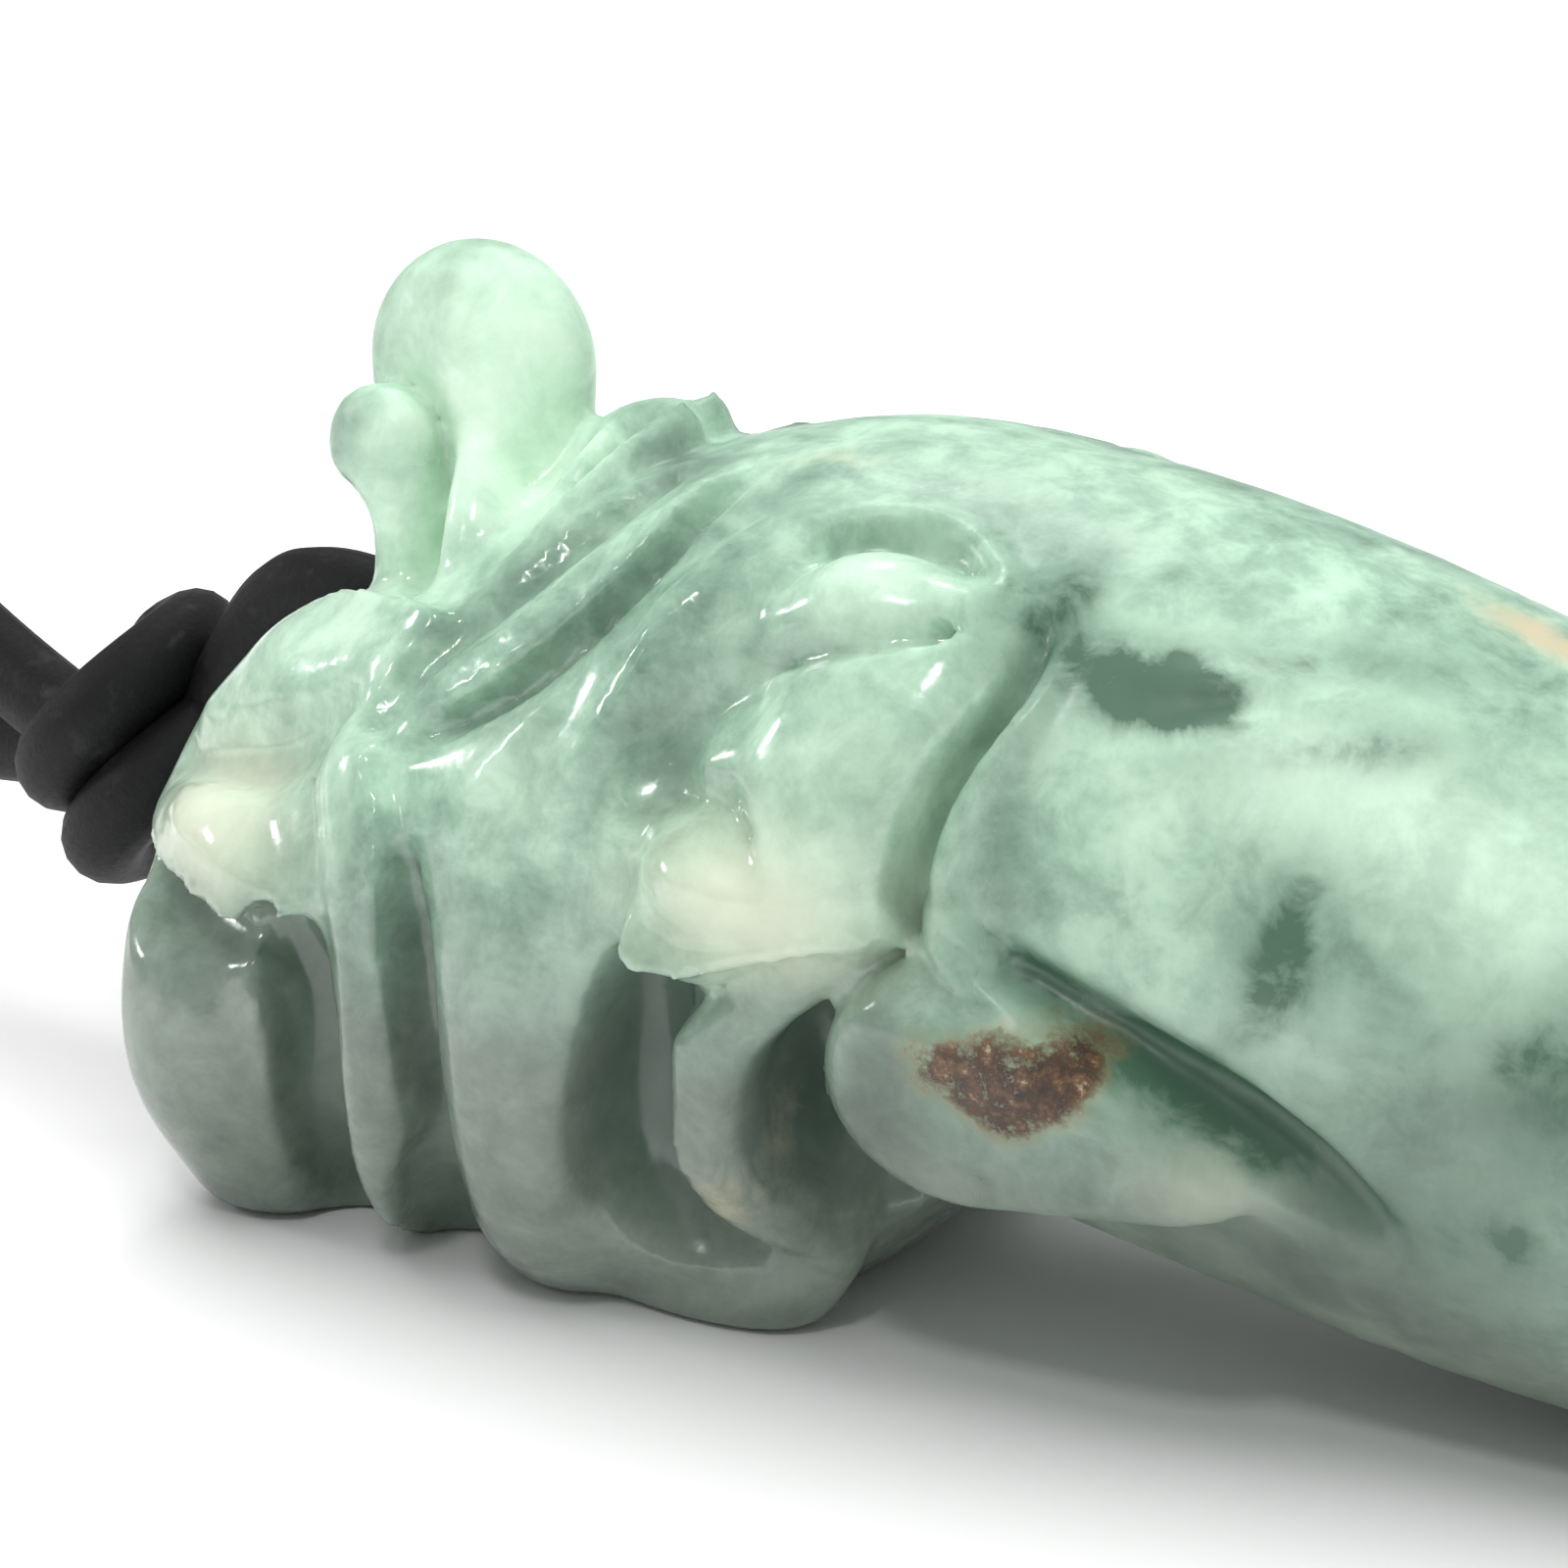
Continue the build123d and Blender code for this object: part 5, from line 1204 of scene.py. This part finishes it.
wraps = cord_line("wraps", [tuple(place) for place in wrap_route])
for piece in (loop, hanging, wraps):
    piece.data.materials.append(black)
    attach(piece, "root")
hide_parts("neck_cord")
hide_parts("cord_knot")

# Floor and light
floor_reach = 2  # metres
floor_corners = [(x * floor_reach, y * floor_reach, 0)
                 for x, y in ((-1, -1), (1, -1), (1, 1), (-1, 1))]
floor_mesh = bpy.data.meshes.new("floor")
floor_mesh.from_pydata(floor_corners, [], [(0, 1, 2, 3)])
floor = bpy.data.objects.new("floor", floor_mesh)
scene.collection.objects.link(floor)
floor_mesh.materials.append(floor_material())
floor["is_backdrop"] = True

world = bpy.data.worlds.new("world")
scene.world = world
world.use_nodes = True
surround = world.node_tree.nodes["Background"]
surround.inputs["Color"].default_value = (1, 1, 1, 1)
surround.inputs["Strength"].default_value = 0.40


def lamp(name, kind, place, energy, size, target):
    """A light at a place in metres, aimed at the target."""
    data = bpy.data.lights.new(name, kind)
    data.energy = energy
    if kind == "AREA":
        data.size = size
    elif kind == "SUN":
        data.angle = size
    else:
        data.spot_size, data.spot_blend, data.shadow_soft_size = size, 1.0, 0.006
    light = bpy.data.objects.new(name, data)
    light.location = Vector(place)
    aim = Vector(target) - light.location
    light.rotation_euler = aim.to_track_quat("-Z", "Y").to_euler()
    light.visible_glossy = kind != "SUN"
    scene.collection.objects.link(light)


head, crest = (0.005, 0, 0.01), (-0.004, -0.001, 0.016)
# name, kind, place, energy, width in metres or in radians, target
lamps = [
    ("sky", "SUN", (0.0, 0.09, 0.5), 3.15, math.radians(80), head),
    ("window", "AREA", (-0.06, 0.10, 0.22), 0.07, 0.05, head),
    ("left_window", "AREA", (-0.20, -0.06, 0.10), 0.06, 0.035, head),
    ("lamp", "AREA", (0.06, -0.16, 0.22), 0.10, 0.03, head),
    ("crest_lamp", "SPOT", (-0.03, -0.17, 0.10), 0.28, math.radians(4), crest),
]
for row in lamps:
    lamp(*row)

boxes = {"cad": cad_box, "visual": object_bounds()}
{name: [list(map(float, c)) for c in box] for name, box in boxes.items()}
